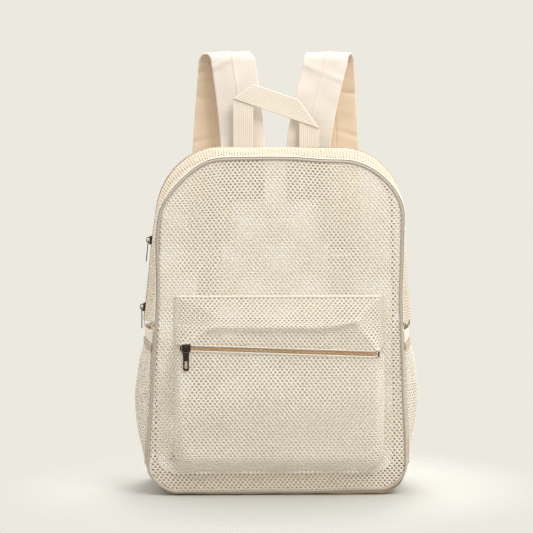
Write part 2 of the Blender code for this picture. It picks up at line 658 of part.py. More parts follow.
def build_straps(strap_cloth, webbing_cloth, plastic):
    """Each strap with its tab, lock and webbing hangs on a pivot at its upper sewn end."""
    end_x, end_y, end_z = STRAP_END
    low_x, low_y, low_z = LOWER_ANCHOR
    loop_y = LOCK_THICK / 2 + WEBBING_THICK / 2 + GAP * 1.5
    half_y = loop_y / 2
    for side, sign in SIDES.items():
        strap = band(f"{side}_shoulder_strap", strap_path(side), STRAP_WIDTH, STRAP_THICK, strap_cloth)
        foot = [(sign * STRAP_X, STRAP_FOOT_Y, z) for z in ANCHOR_Z]
        band(f"{side}_strap_anchor", np.array(foot), STRAP_WIDTH, STRAP_THICK - 2 * GAP, strap_cloth)
        lock = build_ladder_lock(side, plastic)
        rear = [(-loop_y, end_z - 2 * GAP), (-loop_y, LOCK_TAB_Z + WEB_TURN), (-half_y, LOCK_TAB_Z)]
        turn = rear + [(-y, z) for y, z in reversed(rear)]
        path = np.array([(sign * end_x, end_y + y, z) for y, z in turn])
        tab = band(f"{side}_lock_tab", path, WEBBING, WEBBING_THICK * TAB_SHARE, webbing_cloth)
        tail = [(loop_y + TAIL_FLARE, TAIL_END_Z), (loop_y + TAIL_FLARE / 4, TAIL_END_Z + 0.030),
                (loop_y, LOCK_BAR_Z - WEB_TURN / 2), (half_y, LOCK_BAR_Z + WEB_TURN),
                (-half_y, LOCK_BAR_Z + WEB_TURN), (-loop_y, LOCK_BAR_Z - WEB_TURN / 2),
                (-loop_y, WEB_START_Z)]
        path = [(sign * end_x, end_y + y, z) for y, z in tail]
        for t in (0.3, 0.6, 0.85, 1.0):
            path.append((sign * (end_x + (low_x - end_x) * t),
                         end_y - loop_y + (low_y - end_y + loop_y) * t,
                         WEB_START_Z + (low_z - WEB_START_Z) * t))
        web = band(f"{side}_adjuster_webbing", np.array(path), WEBBING, WEBBING_THICK, webbing_cloth)
        hang_on(f"{side}_strap_pivot", (sign * STRAP_X, STRAP_FOOT_Y, STRAP_FOOT_Z),
                [strap, lock, tab, web])
        build_lower_tab(side, strap_cloth)


def main():
    clear_scene()
    mesh_cloth = material("polyester mesh", (0.72, 0.66, 0.56), 0.8)
    base_cloth = material("base cloth", (0.52, 0.43, 0.32), 0.85)
    strap_cloth = material("strap cloth", (0.84, 0.76, 0.65), 0.8)
    webbing_cloth = material("ribbed webbing", (0.80, 0.72, 0.60), 0.75)
    binding_cloth = material("binding tape", (0.40, 0.34, 0.25), 0.7)
    elastic_cloth = material("ribbed elastic", (0.66, 0.58, 0.47), 0.75)
    tape_cloth = material("zip tape", (0.66, 0.55, 0.42), 0.8)
    coil_nylon = material("nylon coil", (0.45, 0.30, 0.18), 0.45)
    satin = material("satin piping", (0.40, 0.33, 0.26), 0.35)
    metal = material("gunmetal", (0.05, 0.045, 0.04), 0.3, 1.0)
    plastic = material("acetal", (0.62, 0.54, 0.44), 0.45)
    build_body_panels(mesh_cloth, base_cloth)
    build_gusset(mesh_cloth, tape_cloth, coil_nylon)
    build_piping(satin)
    build_front_pocket(mesh_cloth, tape_cloth, coil_nylon, metal)
    build_side_pockets(mesh_cloth, binding_cloth, elastic_cloth)
    build_sliders(metal)
    build_handle(webbing_cloth)
    build_straps(strap_cloth, webbing_cloth, plastic)


main()
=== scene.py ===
"""Mesh backpack, dressed: knitted nets with real holes, folded webbing, cloth straps, zips with their teeth
and satin piping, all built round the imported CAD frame. Metres, +Z up, the front faces -Y."""

import math

import bpy
import numpy as np
from bpy.props import FloatProperty, FloatVectorProperty, PointerProperty
from bpy.types import Operator, Panel, PropertyGroup
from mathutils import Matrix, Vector


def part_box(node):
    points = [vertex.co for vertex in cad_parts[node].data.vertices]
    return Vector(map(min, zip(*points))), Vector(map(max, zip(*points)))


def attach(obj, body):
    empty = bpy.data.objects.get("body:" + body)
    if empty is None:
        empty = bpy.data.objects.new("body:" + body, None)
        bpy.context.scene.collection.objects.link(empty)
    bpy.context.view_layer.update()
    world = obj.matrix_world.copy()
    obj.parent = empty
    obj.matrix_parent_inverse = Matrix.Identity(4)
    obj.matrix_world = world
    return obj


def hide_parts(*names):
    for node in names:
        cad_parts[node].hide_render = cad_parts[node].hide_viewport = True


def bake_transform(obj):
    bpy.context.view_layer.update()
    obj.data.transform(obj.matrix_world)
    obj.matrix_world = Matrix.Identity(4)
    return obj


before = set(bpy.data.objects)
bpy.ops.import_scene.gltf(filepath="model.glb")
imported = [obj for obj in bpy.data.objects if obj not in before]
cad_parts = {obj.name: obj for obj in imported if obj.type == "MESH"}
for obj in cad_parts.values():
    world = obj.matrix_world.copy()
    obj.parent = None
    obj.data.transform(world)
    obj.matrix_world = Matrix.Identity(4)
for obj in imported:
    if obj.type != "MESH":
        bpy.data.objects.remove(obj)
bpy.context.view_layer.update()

bl_info = {
    "name": "Mesh Backpack",
    "version": (1, 0, 0),
    "blender": (4, 5, 0),
    "location": "3D View > Sidebar > Backpack",
    "description": "Builds the cloth, nets, zips and metal of a see-through mesh backpack",
    "category": "Add Mesh",
}

MM = 0.001

# The sewn body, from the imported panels: the seam runs a piping's seat outside the panel's edge
PIPING_SEAT = 4.8 * MM
PANEL_LOW, PANEL_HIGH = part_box("front_panel")
SEAM_Y = -(PANEL_LOW.y + PANEL_HIGH.y) / 2
BODY_HEIGHT = PANEL_HIGH.z + PIPING_SEAT
BASE_HALF = PANEL_HIGH.x + PIPING_SEAT
TOP_HALF = BASE_HALF - 5.5 * MM
BASE_CORNER = 33 * MM
TOP_CORNER = 74 * MM
SHOULDER_Z = BODY_HEIGHT - TOP_CORNER
PIPING_INSET = 2.3 * MM
GUSSET_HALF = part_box("rear_gusset_strip")[1].y
STRIP_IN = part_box("rear_gusset_strip")[0].y
CROWN_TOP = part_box("main_zip_front_tape")[1].z - BODY_HEIGHT
CROWN_SHOULDER = 2.5 * MM
ZIP_LOW_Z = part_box("main_zip_front_tape")[0].z
ZIP_LOW_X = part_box("main_zip_front_tape")[1].x
SIDE_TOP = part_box("left_side_panel")[1].z
SIDE_CROWN = 4.5 * MM

# Front pocket
POCKET_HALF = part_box("front_pocket_upper_panel")[1].x
POCKET_TOP_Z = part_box("front_pocket_upper_panel")[1].z
POCKET_BASE_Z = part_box("front_pocket_lower_panel")[0].z
POCKET_Y = 91 * MM
POCKET_BELLY = 7 * MM
POCKET_ZIP_Z = 176.5 * MM
POCKET_ZIP_TILT = math.radians(2.0)
POCKET_ZIP_HALF = 116.5 * MM
POCKET_HEM = 2.9 * MM       # from the zip's middle to the hem beside it

# Side pockets
SIDE_POCKET_BASE_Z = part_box("left_pocket_mesh")[0].z
SIDE_POCKET_TOP_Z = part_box("left_pocket_mesh")[1].z
SIDE_POCKET_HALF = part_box("left_pocket_mesh")[1].y

# Straps and handle
WEBBING = 25.4 * MM
STRAP_X = 41 * MM
STRAP_FOOT = (69.5 * MM, 413.5 * MM)
STRAP_CREST_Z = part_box("left_shoulder_strap")[1].z
STRAP_REAR_Y = 102 * MM
STRAP_END = (85 * MM, 97 * MM, 298 * MM)
STRAP_CREST_X = {"left": (53 * MM, 69 * MM), "right": (63 * MM, 73 * MM)}
LOWER_ANCHOR = (98 * MM, 71.2 * MM, 60 * MM)
LOCK_LOW, LOCK_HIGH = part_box("right_ladder_lock")
HANDLE_Y = 57.6 * MM
HANDLE_FOOT_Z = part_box("grab_handle")[0].z
SIDES = {"left": -1.0, "right": 1.0}


def linear(hex_colour):
    """An sRGB hex colour as linear RGB."""
    values = [int(hex_colour[i:i + 2], 16) / 255 for i in (0, 2, 4)]
    return tuple(v / 12.92 if v <= 0.04045 else ((v + 0.055) / 1.055) ** 2.4 for v in values)


# ---------------------------------------------------------------- settings

def length_setting(label, default, text, low=0.0):
    return FloatProperty(name=label, description=text, default=default, min=low, unit="LENGTH", precision=5)


def colour_setting(label, default, text):
    return FloatVectorProperty(name=label, description=text, default=linear(default), size=3,
                               subtype="COLOR", min=0.0, max=1.0)


class BackpackSizes(PropertyGroup):
    hole_across: length_setting("Hole pitch across", 5.33 * MM, "Distance between holes in a row", MM)
    hole_along: length_setting("Hole pitch along", 6.74 * MM, "Twice the distance between rows", MM)
    hole_size: FloatProperty(name="Hole size", description="Size of a hole as a share of its cell",
                             default=0.50, min=0.2, max=0.9, subtype="FACTOR")
    thread_rise: length_setting("Yarn rise", 0.42 * MM, "How far a yarn's crown stands off the cloth")
    bulge: length_setting("Panel bulge", 2.6 * MM, "How far the panels swell between their seams")
    strap_width: length_setting("Strap width", 56 * MM, "Width of a shoulder strap", MM)
    strap_thickness: length_setting("Strap thickness", 2.6 * MM, "Thickness of a shoulder strap", MM)
    webbing_thickness: length_setting("Webbing thickness", 1.3 * MM, "Thickness of the webbing", MM)
    piping_radius: length_setting("Piping radius", 1.65 * MM, "Radius of the piping round the panels", MM)
    coil_pitch: length_setting("Coil pitch", 1.35 * MM, "Distance between the turns of a zip's coil", MM)


class BackpackColours(PropertyGroup):
    mesh: colour_setting("Mesh", "fbf8ee", "Knitted mesh")
    # Painted shade: a darker, warmer copy of the same knitted mesh, standing in for the shade on the inner walls of
    # the gusset and sides
    gusset: colour_setting("Gusset mesh", "f5ebda", "Knitted mesh of the gusset and the sides")
    strap: colour_setting("Strap", "dfd6cc", "Woven strap cloth")
    # Painted shade: a darker tan for the straps' inner face, standing in for the shade that falls on that face
    inner_shade: colour_setting("Strap lining", "dac5ab", "Inner face of the straps")
    webbing: colour_setting("Webbing", "e2d9cc", "Ribbed webbing")
    # Partly painted shade: the base cloth's own tan, darkened further to stand in for the shadow along the bag's
    # bottom edge
    base: colour_setting("Base", "b79f7c", "Woven base cloth")
    tape: colour_setting("Zip tape", "ead7b8", "Knitted zip tape")
    coil: colour_setting("Coil", "bd9566", "Moulded zip coil of the front pocket")
    main_coil: colour_setting("Main coil", "e6d8be", "Moulded zip coil of the main zip")
    piping: colour_setting("Piping", "b3a89c", "Satin piping")
    binding: colour_setting("Binding", "bfae8f", "Side pocket binding")
    elastic: colour_setting("Elastic", "e9dfcd", "Ribbed elastic")
    metal: colour_setting("Gunmetal", "4e453d", "Plated zip sliders and pulls")
    acetal: colour_setting("Acetal", "dccdb5", "Moulded ladder locks")


def sizes():
    return bpy.context.scene.backpack_sizes


def colours():
    return bpy.context.scene.backpack_colours


# ---------------------------------------------------------------- node and mesh helpers

def add(tree, kind, inputs=None, links=None, **settings):
    """One shader node: its settings, its socket values, and the sockets that feed it."""
    made = tree.nodes.new("ShaderNode" + kind)
    for name, value in settings.items():
        setattr(made, name, value)
    for name, value in (inputs or {}).items():
        made.inputs[name].default_value = value
    for name, source in (links or {}).items():
        tree.links.new(source, made.inputs[name])
    return made


def new_material(name, roughness, **sockets):
    """A material with a Principled shader; the sockets' names have underscores for spaces."""
    made = bpy.data.materials.new(name)
    made.use_nodes = True
    shader = made.node_tree.nodes["Principled BSDF"]
    shader.inputs["Roughness"].default_value = roughness
    for socket, value in sockets.items():
        shader.inputs[socket.replace("_", " ")].default_value = value
    return made, made.node_tree, shader


def shaded(colour, share):
    """A colour darkened towards a warmer version of itself; share 0 leaves it as it is."""
    warm = (1.0, 0.93, 0.82)
    return tuple(c * (1 - share * (2 - w)) if w < 1 else c * (1 - share) for c, w in zip(colour, warm)) + (1.0,)


def new_mesh(name, points, faces, uv=None):
    """A smooth mesh from an array of points and an array of faces that all have as many corners."""
    points = np.asarray(points, np.float32).reshape(-1, 3)
    faces = np.asarray(faces, np.int32)
    mesh = bpy.data.meshes.new(name)
    mesh.vertices.add(len(points))
    mesh.vertices.foreach_set("co", points.ravel())
    mesh.loops.add(faces.size)
    mesh.loops.foreach_set("vertex_index", faces.ravel())
    mesh.polygons.add(len(faces))
    mesh.polygons.foreach_set("loop_start", np.arange(0, faces.size, faces.shape[1], dtype=np.int32))
    mesh.update(calc_edges=True)
    if uv is not None:
        layer = mesh.uv_layers.new(name="cloth")
        layer.data.foreach_set("uv", np.asarray(uv, np.float32).reshape(-1, 2)[faces.ravel()].ravel())
    mesh.shade_smooth()
    obj = bpy.data.objects.new(name, mesh)
    bpy.context.scene.collection.objects.link(obj)
    return obj


def finish_piece(obj, material, nodes=(), body="root"):
    """Gives a piece its material, hides the CAD nodes it stands for, and puts it on its body."""
    obj.data.materials.clear()
    obj.data.materials.append(material)
    if nodes:
        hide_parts(*nodes)
    if body:
        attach(obj, body)
    return obj


def grid_faces(rows, cols, wrap_rows=False, wrap_cols=False):
    """Quads over a grid of points, wound so that across x along points outwards."""
    i, j = np.meshgrid(np.arange(rows if wrap_rows else rows - 1),
                       np.arange(cols if wrap_cols else cols - 1), indexing="ij")
    k, m = (i + 1) % rows, (j + 1) % cols
    return np.stack([i * cols + j, i * cols + m, k * cols + m, k * cols + j], axis=-1).reshape(-1, 4)


def unit(vectors):
    return vectors / np.maximum(np.linalg.norm(vectors, axis=-1, keepdims=True), 1e-9)


def smooth(t):
    """Eases from 0 to 1 as t goes from 0 to 1."""
    t = np.clip(t, 0.0, 1.0)
    return t * t * (3 - 2 * t)


def soft_least(a, b, width):
    """The smaller of two values, rounded over where they are closer than width."""
    share = np.clip(0.5 + 0.5 * (b - a) / width, 0.0, 1.0)
    return b * (1 - share) + a * share - width * share * (1 - share)


def ripple(u, v, seed, span):
    """A gentle unevenness between -1 and 1: five sine waves of differing slants, about span long."""
    draw = np.random.default_rng(seed)
    total = 0.0
    for _ in range(5):
        slant, phase, scale = draw.uniform(0, math.pi), draw.uniform(0, 2 * math.pi), draw.uniform(0.7, 1.6)
        total = total + np.sin((u * math.cos(slant) + v * math.sin(slant)) * 2 * math.pi * scale / span + phase)
    return total / 5


def slab(name, middle, thickness, edge=0.6 * MM, normals=None, wrap=False):
    """A strip of cloth: a grid of points (along, across) thickened both ways along its normals.

    The two faces meet in a rounded selvedge, because the thickness falls off as a quarter circle
    over the last edge of the width. With wrap the strip closes into a ring lengthwise.
    """
    middle = np.asarray(middle, float)
    rows, cols = middle.shape[:2]
    if normals is None:
        ahead = np.gradient(middle, axis=0)
        if wrap:
            ahead = np.roll(middle, -1, axis=0) - np.roll(middle, 1, axis=0)
        normals = unit(np.cross(np.gradient(middle, axis=1), ahead))
    across = np.concatenate([np.zeros((rows, 1)),
                             np.cumsum(np.linalg.norm(np.diff(middle, axis=1), axis=-1), axis=1)], axis=1)
    along = np.concatenate([[0.0], np.cumsum(np.linalg.norm(np.diff(middle.mean(axis=1), axis=0), axis=-1))])
    from_edge = np.minimum(across, across[:, -1:] - across)
    round_off = np.sqrt(np.clip(1 - (1 - np.clip(from_edge / edge, 0, 1)) ** 2, 0.02, 1))
    half = np.broadcast_to(np.asarray(thickness, float), (rows, cols)) / 2 * round_off
    top = middle + normals * half[..., None]
    bottom = middle - normals * half[..., None]
    ring = np.concatenate([top, bottom[:, ::-1]], axis=1)
    uv = np.stack([np.concatenate([across, across[:, ::-1]], axis=1),
                   np.broadcast_to(along[:, None], (rows, 2 * cols))], axis=-1)
    faces = grid_faces(rows, 2 * cols, wrap_rows=wrap, wrap_cols=True)
    outer = np.broadcast_to(np.repeat([1.0, 0.0], cols), (rows, 2 * cols))
    if not wrap:
        j = np.arange(cols - 1)
        last = (rows - 1) * 2 * cols
        start = np.stack([j, 2 * cols - 1 - j, 2 * cols - 2 - j, j + 1], axis=-1)
        end = np.stack([last + j, last + j + 1, last + 2 * cols - 2 - j, last + 2 * cols - 1 - j], axis=-1)
        faces = np.concatenate([faces, start, end])
    made = new_mesh(name, ring.reshape(-1, 3), faces, uv.reshape(-1, 2))
    mark = made.data.attributes.new("outer", "FLOAT", "POINT")
    mark.data.foreach_set("value", np.ascontiguousarray(outer, np.float32).ravel())
    return made


def tube(name, path, radius, around=10, wrap=False, wide=None, flat=None):
    """A round cord along a path: rings square to the path, flattened by flat along the direction wide."""
    path = np.asarray(path, float)
    ahead = np.gradient(path, axis=0)
    if wrap:
        ahead = np.roll(path, -1, axis=0) - np.roll(path, 1, axis=0)
    ahead = unit(ahead)
    side = unit(np.cross(ahead, np.asarray(wide if wide is not None else (0.0, 1.0, 0.0))))
    up = np.cross(side, ahead)
    angle = np.linspace(0, 2 * math.pi, around, endpoint=False)
    rings = (path[:, None] + radius * (np.cos(angle)[None, :, None] * side[:, None]
             + (flat or 1.0) * np.sin(angle)[None, :, None] * up[:, None]))
    along = np.concatenate([[0.0], np.cumsum(np.linalg.norm(np.diff(path, axis=0), axis=-1))])
    uv = np.stack(np.broadcast_arrays(angle[None, :] * radius, along[:, None]), axis=-1)
    faces = grid_faces(len(path), around, wrap_rows=wrap, wrap_cols=True)[:, ::-1]
    if not wrap:
        j = np.arange(1, around // 2)
        last = (len(path) - 1) * around
        start = np.stack([j - 1, j, around - 1 - j, (around - j) % around], axis=-1)
        end = last + start[:, ::-1]
        faces = np.concatenate([faces, start, end])
    return new_mesh(name, rings.reshape(-1, 3), faces, uv.reshape(-1, 2))


def net(name, surface, clamp, span_u, span_v, open_rim=0.3 * MM, drawn=1.0):
    """A knitted net: yarns round holes on a lattice whose rows are set off by half a pitch.

    Each cell is the six-sided region nearest to its hole's centre. Its corners are the yarns' crowns,
    raised on both faces, and a smaller six-sided hole of the same shape lies in its middle. surface(u, v)
    places the cloth, clamp(u, v, inset) draws what lies outside the cut onto its edge, and a cell is
    kept if its own centre lies inside the cut. A wall closes the net along its edge. drawn is how far
    the pitch is stretched or drawn together by sewing.
    """
    size = sizes()
    a, b, hole, rise = size.hole_across * drawn, size.hole_along * drawn, size.hole_size, size.thread_rise
    i, j = np.meshgrid(np.arange(math.floor(span_u[0] / a * 2) - 1, math.ceil(span_u[1] / a * 2) + 2),
                       np.arange(math.floor(span_v[0] / b * 2) - 1, math.ceil(span_v[1] / b * 2) + 2))
    i, j = i.ravel(), j.ravel()
    u, v = i * a / 2, j * b / 2
    cu, cv = clamp(u, v, 0.8 * MM)
    kept = ((i + j) % 2 == 0) & (np.hypot(cu - u, cv - v) < 0.4 * MM + 1e-6)
    i, j = i[kept], j[kept]
    low, high = (b * b - a * a) / (4 * b), (a * a + b * b) / (4 * b)
    shape = np.array([(a / 2, low), (0, high), (-a / 2, low), (-a / 2, -low), (0, -high), (a / 2, -low)])
    steps = np.array([(1, 1, 1), (0, 0, 0), (-1, 1, 1), (-1, -1, 0), (0, 0, 1), (1, -1, 0)])
    key = (((i[:, None] + steps[:, 0] + 4096) * 8192 + j[:, None] + steps[:, 1] + 4096) * 2 + steps[:, 2])
    _, first, corner_of = np.unique(key.ravel(), return_index=True, return_inverse=True)
    corner_of = corner_of.reshape(-1, 6)
    centre = np.stack([i * a / 2, j * b / 2], axis=-1)
    corner_uv = (centre[:, None] + shape).reshape(-1, 2)[first]
    hole_uv = (centre[:, None] + shape * hole).reshape(-1, 2)
    corner_uv = np.stack(clamp(*corner_uv.T, 0.0), axis=-1)
    hole_uv = np.stack(clamp(*hole_uv.T, open_rim), axis=-1)
    step = 0.2 * MM
    here = surface(*corner_uv.T)
    normal = unit(np.cross(surface(corner_uv[:, 0] + step, corner_uv[:, 1]) - here,
                           surface(corner_uv[:, 0], corner_uv[:, 1] + step) - here))
    count, cells = len(here), len(i)
    points = np.concatenate([here + normal * rise, here - normal * rise, surface(*hole_uv.T)])
    uv = np.concatenate([corner_uv, corner_uv, hole_uv])
    inner = 2 * count + np.arange(cells * 6).reshape(-1, 6)
    ahead = np.roll(corner_of, -1, axis=1)
    inner_ahead = np.roll(inner, -1, axis=1)
    top = np.stack([corner_of, ahead, inner_ahead, inner], axis=-1).reshape(-1, 4)
    bottom = np.stack([inner, inner_ahead, ahead + count, corner_of + count], axis=-1).reshape(-1, 4)
    edge = np.sort(np.stack([corner_of, ahead], axis=-1).reshape(-1, 2), axis=1)
    _, which, times = np.unique(edge[:, 0] * (count + 1) + edge[:, 1], return_inverse=True,
                                return_counts=True)
    rim = times[which.ravel()] == 1
    k, m = corner_of.ravel()[rim], ahead.ravel()[rim]
    wall = np.stack([m, k, k + count, m + count], axis=-1)
    return new_mesh(name, points, np.concatenate([top, bottom, wall]), uv)


# ---------------------------------------------------------------- the sewn body's surfaces

def half_width(z):
    """Half width of the seam's outline between its corner arcs: straight from base to shoulder."""
    return BASE_HALF + (TOP_HALF - BASE_HALF) * (z - BASE_CORNER) / (SHOULDER_Z - BASE_CORNER)


def inside_outline(x, z):
    """Distance inwards from the outline, with the direction outwards: sides, base, top and four arcs."""
    side = np.abs(x)
    hand = np.where(x < 0, -1.0, 1.0)
    found = half_width(z) - side
    nx, nz = hand.copy(), np.zeros_like(z)
    for flat, sign, level in ((BASE_HALF - BASE_CORNER, -1, 0.0), (TOP_HALF - TOP_CORNER, 1, BODY_HEIGHT)):
        radius = BASE_CORNER if sign < 0 else TOP_CORNER
        centre_z = level - sign * radius
        past_z = (z - centre_z) * sign
        past_x = side - flat
        turn = (past_z > 0) & (past_x > 0)
        reach = np.maximum(np.hypot(past_x, past_z), 1e-9)
        found = np.where(turn, radius - reach, found)
        nx = np.where(turn, hand * past_x / reach, nx)
        nz = np.where(turn, sign * past_z / reach, nz)
        straight = (past_z > 0) & (past_x <= 0) & (radius - past_z < found)
        found = np.where(straight, radius - past_z, found)
        nx = np.where(straight, 0.0, nx)
        nz = np.where(straight, float(sign), nz)
    return found, nx, nz


def draw_in(x, z, inset):
    """Moves points that lie outside the outline, less inset, onto it."""
    inside, nx, nz = inside_outline(x, z)
    back = np.minimum(inside - inset, 0.0)
    return x + nx * back, z + nz * back


def settle(points):
    """How the standing bag slumps: it leans a little sideways with height, its front seams draw in at
    the waist, the right shoulder of the front drops and both front corners sink inwards."""
    points = np.array(points, float)
    x, y, z = points[..., 0], points[..., 1], points[..., 2]
    front = smooth((0.012 - y) / (0.012 + SEAM_Y))
    lean = -2.0 * MM + 2.8 * MM * smooth((z - 0.04) / 0.26) + 2.2 * MM * smooth((z - 0.30) / 0.06)
    waist = 3.0 * MM * np.exp(-((z - 0.235) / 0.055) ** 2) - 3.6 * MM * np.exp(-((z - 0.05) / 0.06) ** 2)
    drop = 3.0 * MM * smooth(x / 0.06) * smooth((z - 0.30) / 0.09) * (1 - 0.6 * smooth((x - 0.09) / 0.05))
    low = smooth(z / 0.03)
    lift = (2.2 + 1.9 * smooth((x - 0.02) / 0.09)) * MM * smooth(1 - z / 0.05) * front
    near = np.exp(-((np.abs(x) - 0.128) ** 2 + (z - 0.386) ** 2) / 0.045 ** 2)
    sunk = np.where(x < 0, 6.0, 2.6) * MM * near * front
    points[..., 0] = x - sunk * np.sign(x) + low * (lean * smooth((SEAM_Y + 0.03 - y) / 0.06)
                                - waist * front * np.clip(x / half_width(z), -1.05, 1.05) ** 3)
    points[..., 2] = z + lift - drop * front - sunk
    return points


def front_rise(x, z):
    """How far the front panel swells: rising within 50 mm of the seam, with a slow unevenness."""
    inside = np.maximum(inside_outline(x, z)[0] - PIPING_INSET, 0.0)
    swell = sizes().bulge * (1 - np.exp(-inside / 0.05))
    return swell + 0.9 * MM * ripple(x, z, 3, 0.16) * (1 - np.exp(-inside / 0.02))


def front_surface(u, v):
    return settle(np.stack([u, -SEAM_Y - front_rise(u, v), v], axis=-1))


def back_surface(u, v):
    """The back panel, seen from behind: u runs towards -X."""
    inside = np.maximum(inside_outline(-u, v)[0] - PIPING_INSET, 0.0)
    swell = 3.0 * MM * (1 - np.exp(-inside / 0.05)) + 0.5 * MM * ripple(u, v, 5, 0.2) * (1 - np.exp(-inside / 0.02))
    return settle(np.stack([-u, SEAM_Y + swell, v], axis=-1))


def arch_table(low_z):
    """The gusset's middle line from the left side over the top to the right: arc length, x, z,
    the direction outwards, and the crown there. The crown follows the straight zip line up each side,
    grows to its full height round the corner as an S curve and stays there over the top."""
    side_z = np.linspace(low_z, SHOULDER_Z, 40, endpoint=False)
    zip_x = ZIP_LOW_X + (TOP_HALF + CROWN_SHOULDER - ZIP_LOW_X) * (side_z - ZIP_LOW_Z) / (SHOULDER_Z - ZIP_LOW_Z)
    angle = np.linspace(0, math.pi / 2, 60, endpoint=False)
    flat = np.linspace(TOP_HALF - TOP_CORNER, 0, 20)
    ones, centre = np.ones_like, TOP_HALF - TOP_CORNER
    right = np.concatenate([
        np.stack([half_width(side_z), side_z, ones(side_z), 0 * side_z, zip_x - half_width(side_z)], axis=-1),
        np.stack([centre + TOP_CORNER * np.cos(angle), SHOULDER_Z + TOP_CORNER * np.sin(angle),
                  np.cos(angle), np.sin(angle),
                  CROWN_SHOULDER + (CROWN_TOP - CROWN_SHOULDER) * smooth(angle / (math.pi / 2))], axis=-1),
        np.stack([flat, BODY_HEIGHT + 0 * flat, 0 * flat, ones(flat), CROWN_TOP + 0 * flat], axis=-1)])
    left = right[:-1] * (-1, 1, -1, 1, 1)
    table = np.concatenate([left, right[::-1]])
    length = np.concatenate([[0], np.cumsum(np.hypot(*np.diff(table[:, :2], axis=0).T))])
    return length, table


def on_arch(length, table, s, y, stand=0.0):
    """The point of the gusset at arc length s and distance y from the zip, standing off by stand."""
    x, z, nx, nz, crown = (np.interp(s, length, table[:, k]) for k in range(5))
    share = np.clip((np.abs(y) - STRIP_IN) / (GUSSET_HALF - STRIP_IN), 0, 1)
    slack = 1.2 * MM * ripple(s, y * 1.5, 11, 0.09) * (1 - share) * share * 4
    out = crown * (1 - share ** 2) + slack + stand
    return settle(np.stack([x + nx * out, y + 0 * x, z + nz * out], axis=-1))


# ---------------------------------------------------------------- materials

def cloth_coordinates(tree):
    """The piece's own flattened cloth, in metres."""
    return add(tree, "UVMap", uv_map="cloth").outputs["UV"]


def mottle(tree, colour, depth, scale, where=None):
    """The colour with a soft cloudy unevenness: noise between the colour and a darker one."""
    noise = add(tree, "TexNoise", {"Scale": scale, "Detail": 4.0, "Roughness": 0.6},
                {"Vector": where or add(tree, "TexCoord").outputs["Object"]})
    ramp = add(tree, "ValToRGB", links={"Fac": noise.outputs["Fac"]})
    ramp.color_ramp.elements[0].position = 0.32
    ramp.color_ramp.elements[0].color = shaded(colour, depth)
    ramp.color_ramp.elements[1].position = 0.68
    ramp.color_ramp.elements[1].color = (*colour, 1.0)
    return ramp.outputs["Color"]


def wave(tree, vector, pitch, direction, distortion=0.0):
    """Ribs of a given pitch in metres across one direction of a vector."""
    made = add(tree, "TexWave", {"Scale": 2 * math.pi / (20 * pitch), "Distortion": distortion,
                                 "Detail": 1.0}, {"Vector": vector}, bands_direction=direction)
    return made.outputs["Fac"]


def bump(tree, shader, height, distance, strength=0.6):
    made = add(tree, "Bump", {"Distance": distance, "Strength": strength}, {"Height": height})
    tree.links.new(made.outputs["Normal"], shader.inputs["Normal"])


def colour_by(tree, shader, factor, low, high):
    """Mixes two colours by a factor into the shader's base colour."""
    made = add(tree, "MixRGB", links={"Fac": factor})
    for socket, value in (("Color1", low), ("Color2", high)):
        if isinstance(value, tuple):
            made.inputs[socket].default_value = value
        else:
            tree.links.new(value, made.inputs[socket])
    tree.links.new(made.outputs["Color"], shader.inputs["Base Color"])


def knitted_polyester(name, colour):
    """Warp-knitted polyester: matt spun yarns, each with its small loops along it, and a faint sheen.
    The loops are drawn 0.9 mm apart, coarser than the real 0.4 mm, so that they show. Two fifths of the
    light passes through the thin yarns, which keeps the inside of the bag pale."""
    made, tree, shader = new_material(name, 0.82, Sheen_Weight=0.15, Sheen_Roughness=0.5)
    through = add(tree, "BsdfTranslucent", {"Color": (*linear("faf4ea"), 1.0)})
    both = add(tree, "MixShader", {0: 0.42}, {1: shader.outputs[0], 2: through.outputs[0]})
    tree.links.new(both.outputs[0], tree.nodes["Material Output"].inputs["Surface"])
    cloth = cloth_coordinates(tree)
    loops = wave(tree, cloth, 0.9 * MM, "DIAGONAL", 1.5)
    colour_by(tree, shader, loops, mottle(tree, shaded(colour, 0.06)[:3], 0.05, 14.0),
              mottle(tree, colour, 0.04, 14.0))
    bump(tree, shader, loops, 0.12 * MM)
    return made


def woven_cloth(name, colour, inner_shade=None):
    """Plain-woven polyester: fine crossed threads, drawn 0.8 mm apart, and soft creases. A darker colour,
    given for a strap, is painted shade on the strap's inner face."""
    made, tree, shader = new_material(name, 0.78, Sheen_Weight=0.2, Sheen_Roughness=0.45)
    cloth = cloth_coordinates(tree)
    warp = wave(tree, cloth, 0.8 * MM, "X", 0.6)
    weft = wave(tree, cloth, 0.8 * MM, "Y", 0.6)
    weave = add(tree, "Math", links={0: warp, 1: weft}, operation="MULTIPLY").outputs[0]
    creases = add(tree, "TexNoise", {"Scale": 55.0, "Detail": 3.0, "Roughness": 0.55, "Distortion": 0.8},
                  {"Vector": cloth}).outputs["Fac"]
    colour_by(tree, shader, weave, mottle(tree, shaded(colour, 0.05)[:3], 0.06, 20.0),
              mottle(tree, colour, 0.04, 20.0))
    # Painted shade: the inner face of a strap gets the darker tan in place of the shade it lies in
    if inner_shade:
        outside = shader.inputs["Base Color"].links[0].from_socket
        colour_by(tree, shader, add(tree, "Attribute", attribute_name="outer").outputs["Fac"],
                  mottle(tree, inner_shade, 0.10, 26.0), outside)
    height = add(tree, "Math", {1: 0.12}, {0: weave, 2: creases}, operation="MULTIPLY_ADD").outputs[0]
    bump(tree, shader, height, 1.1 * MM, 0.5)
    return made


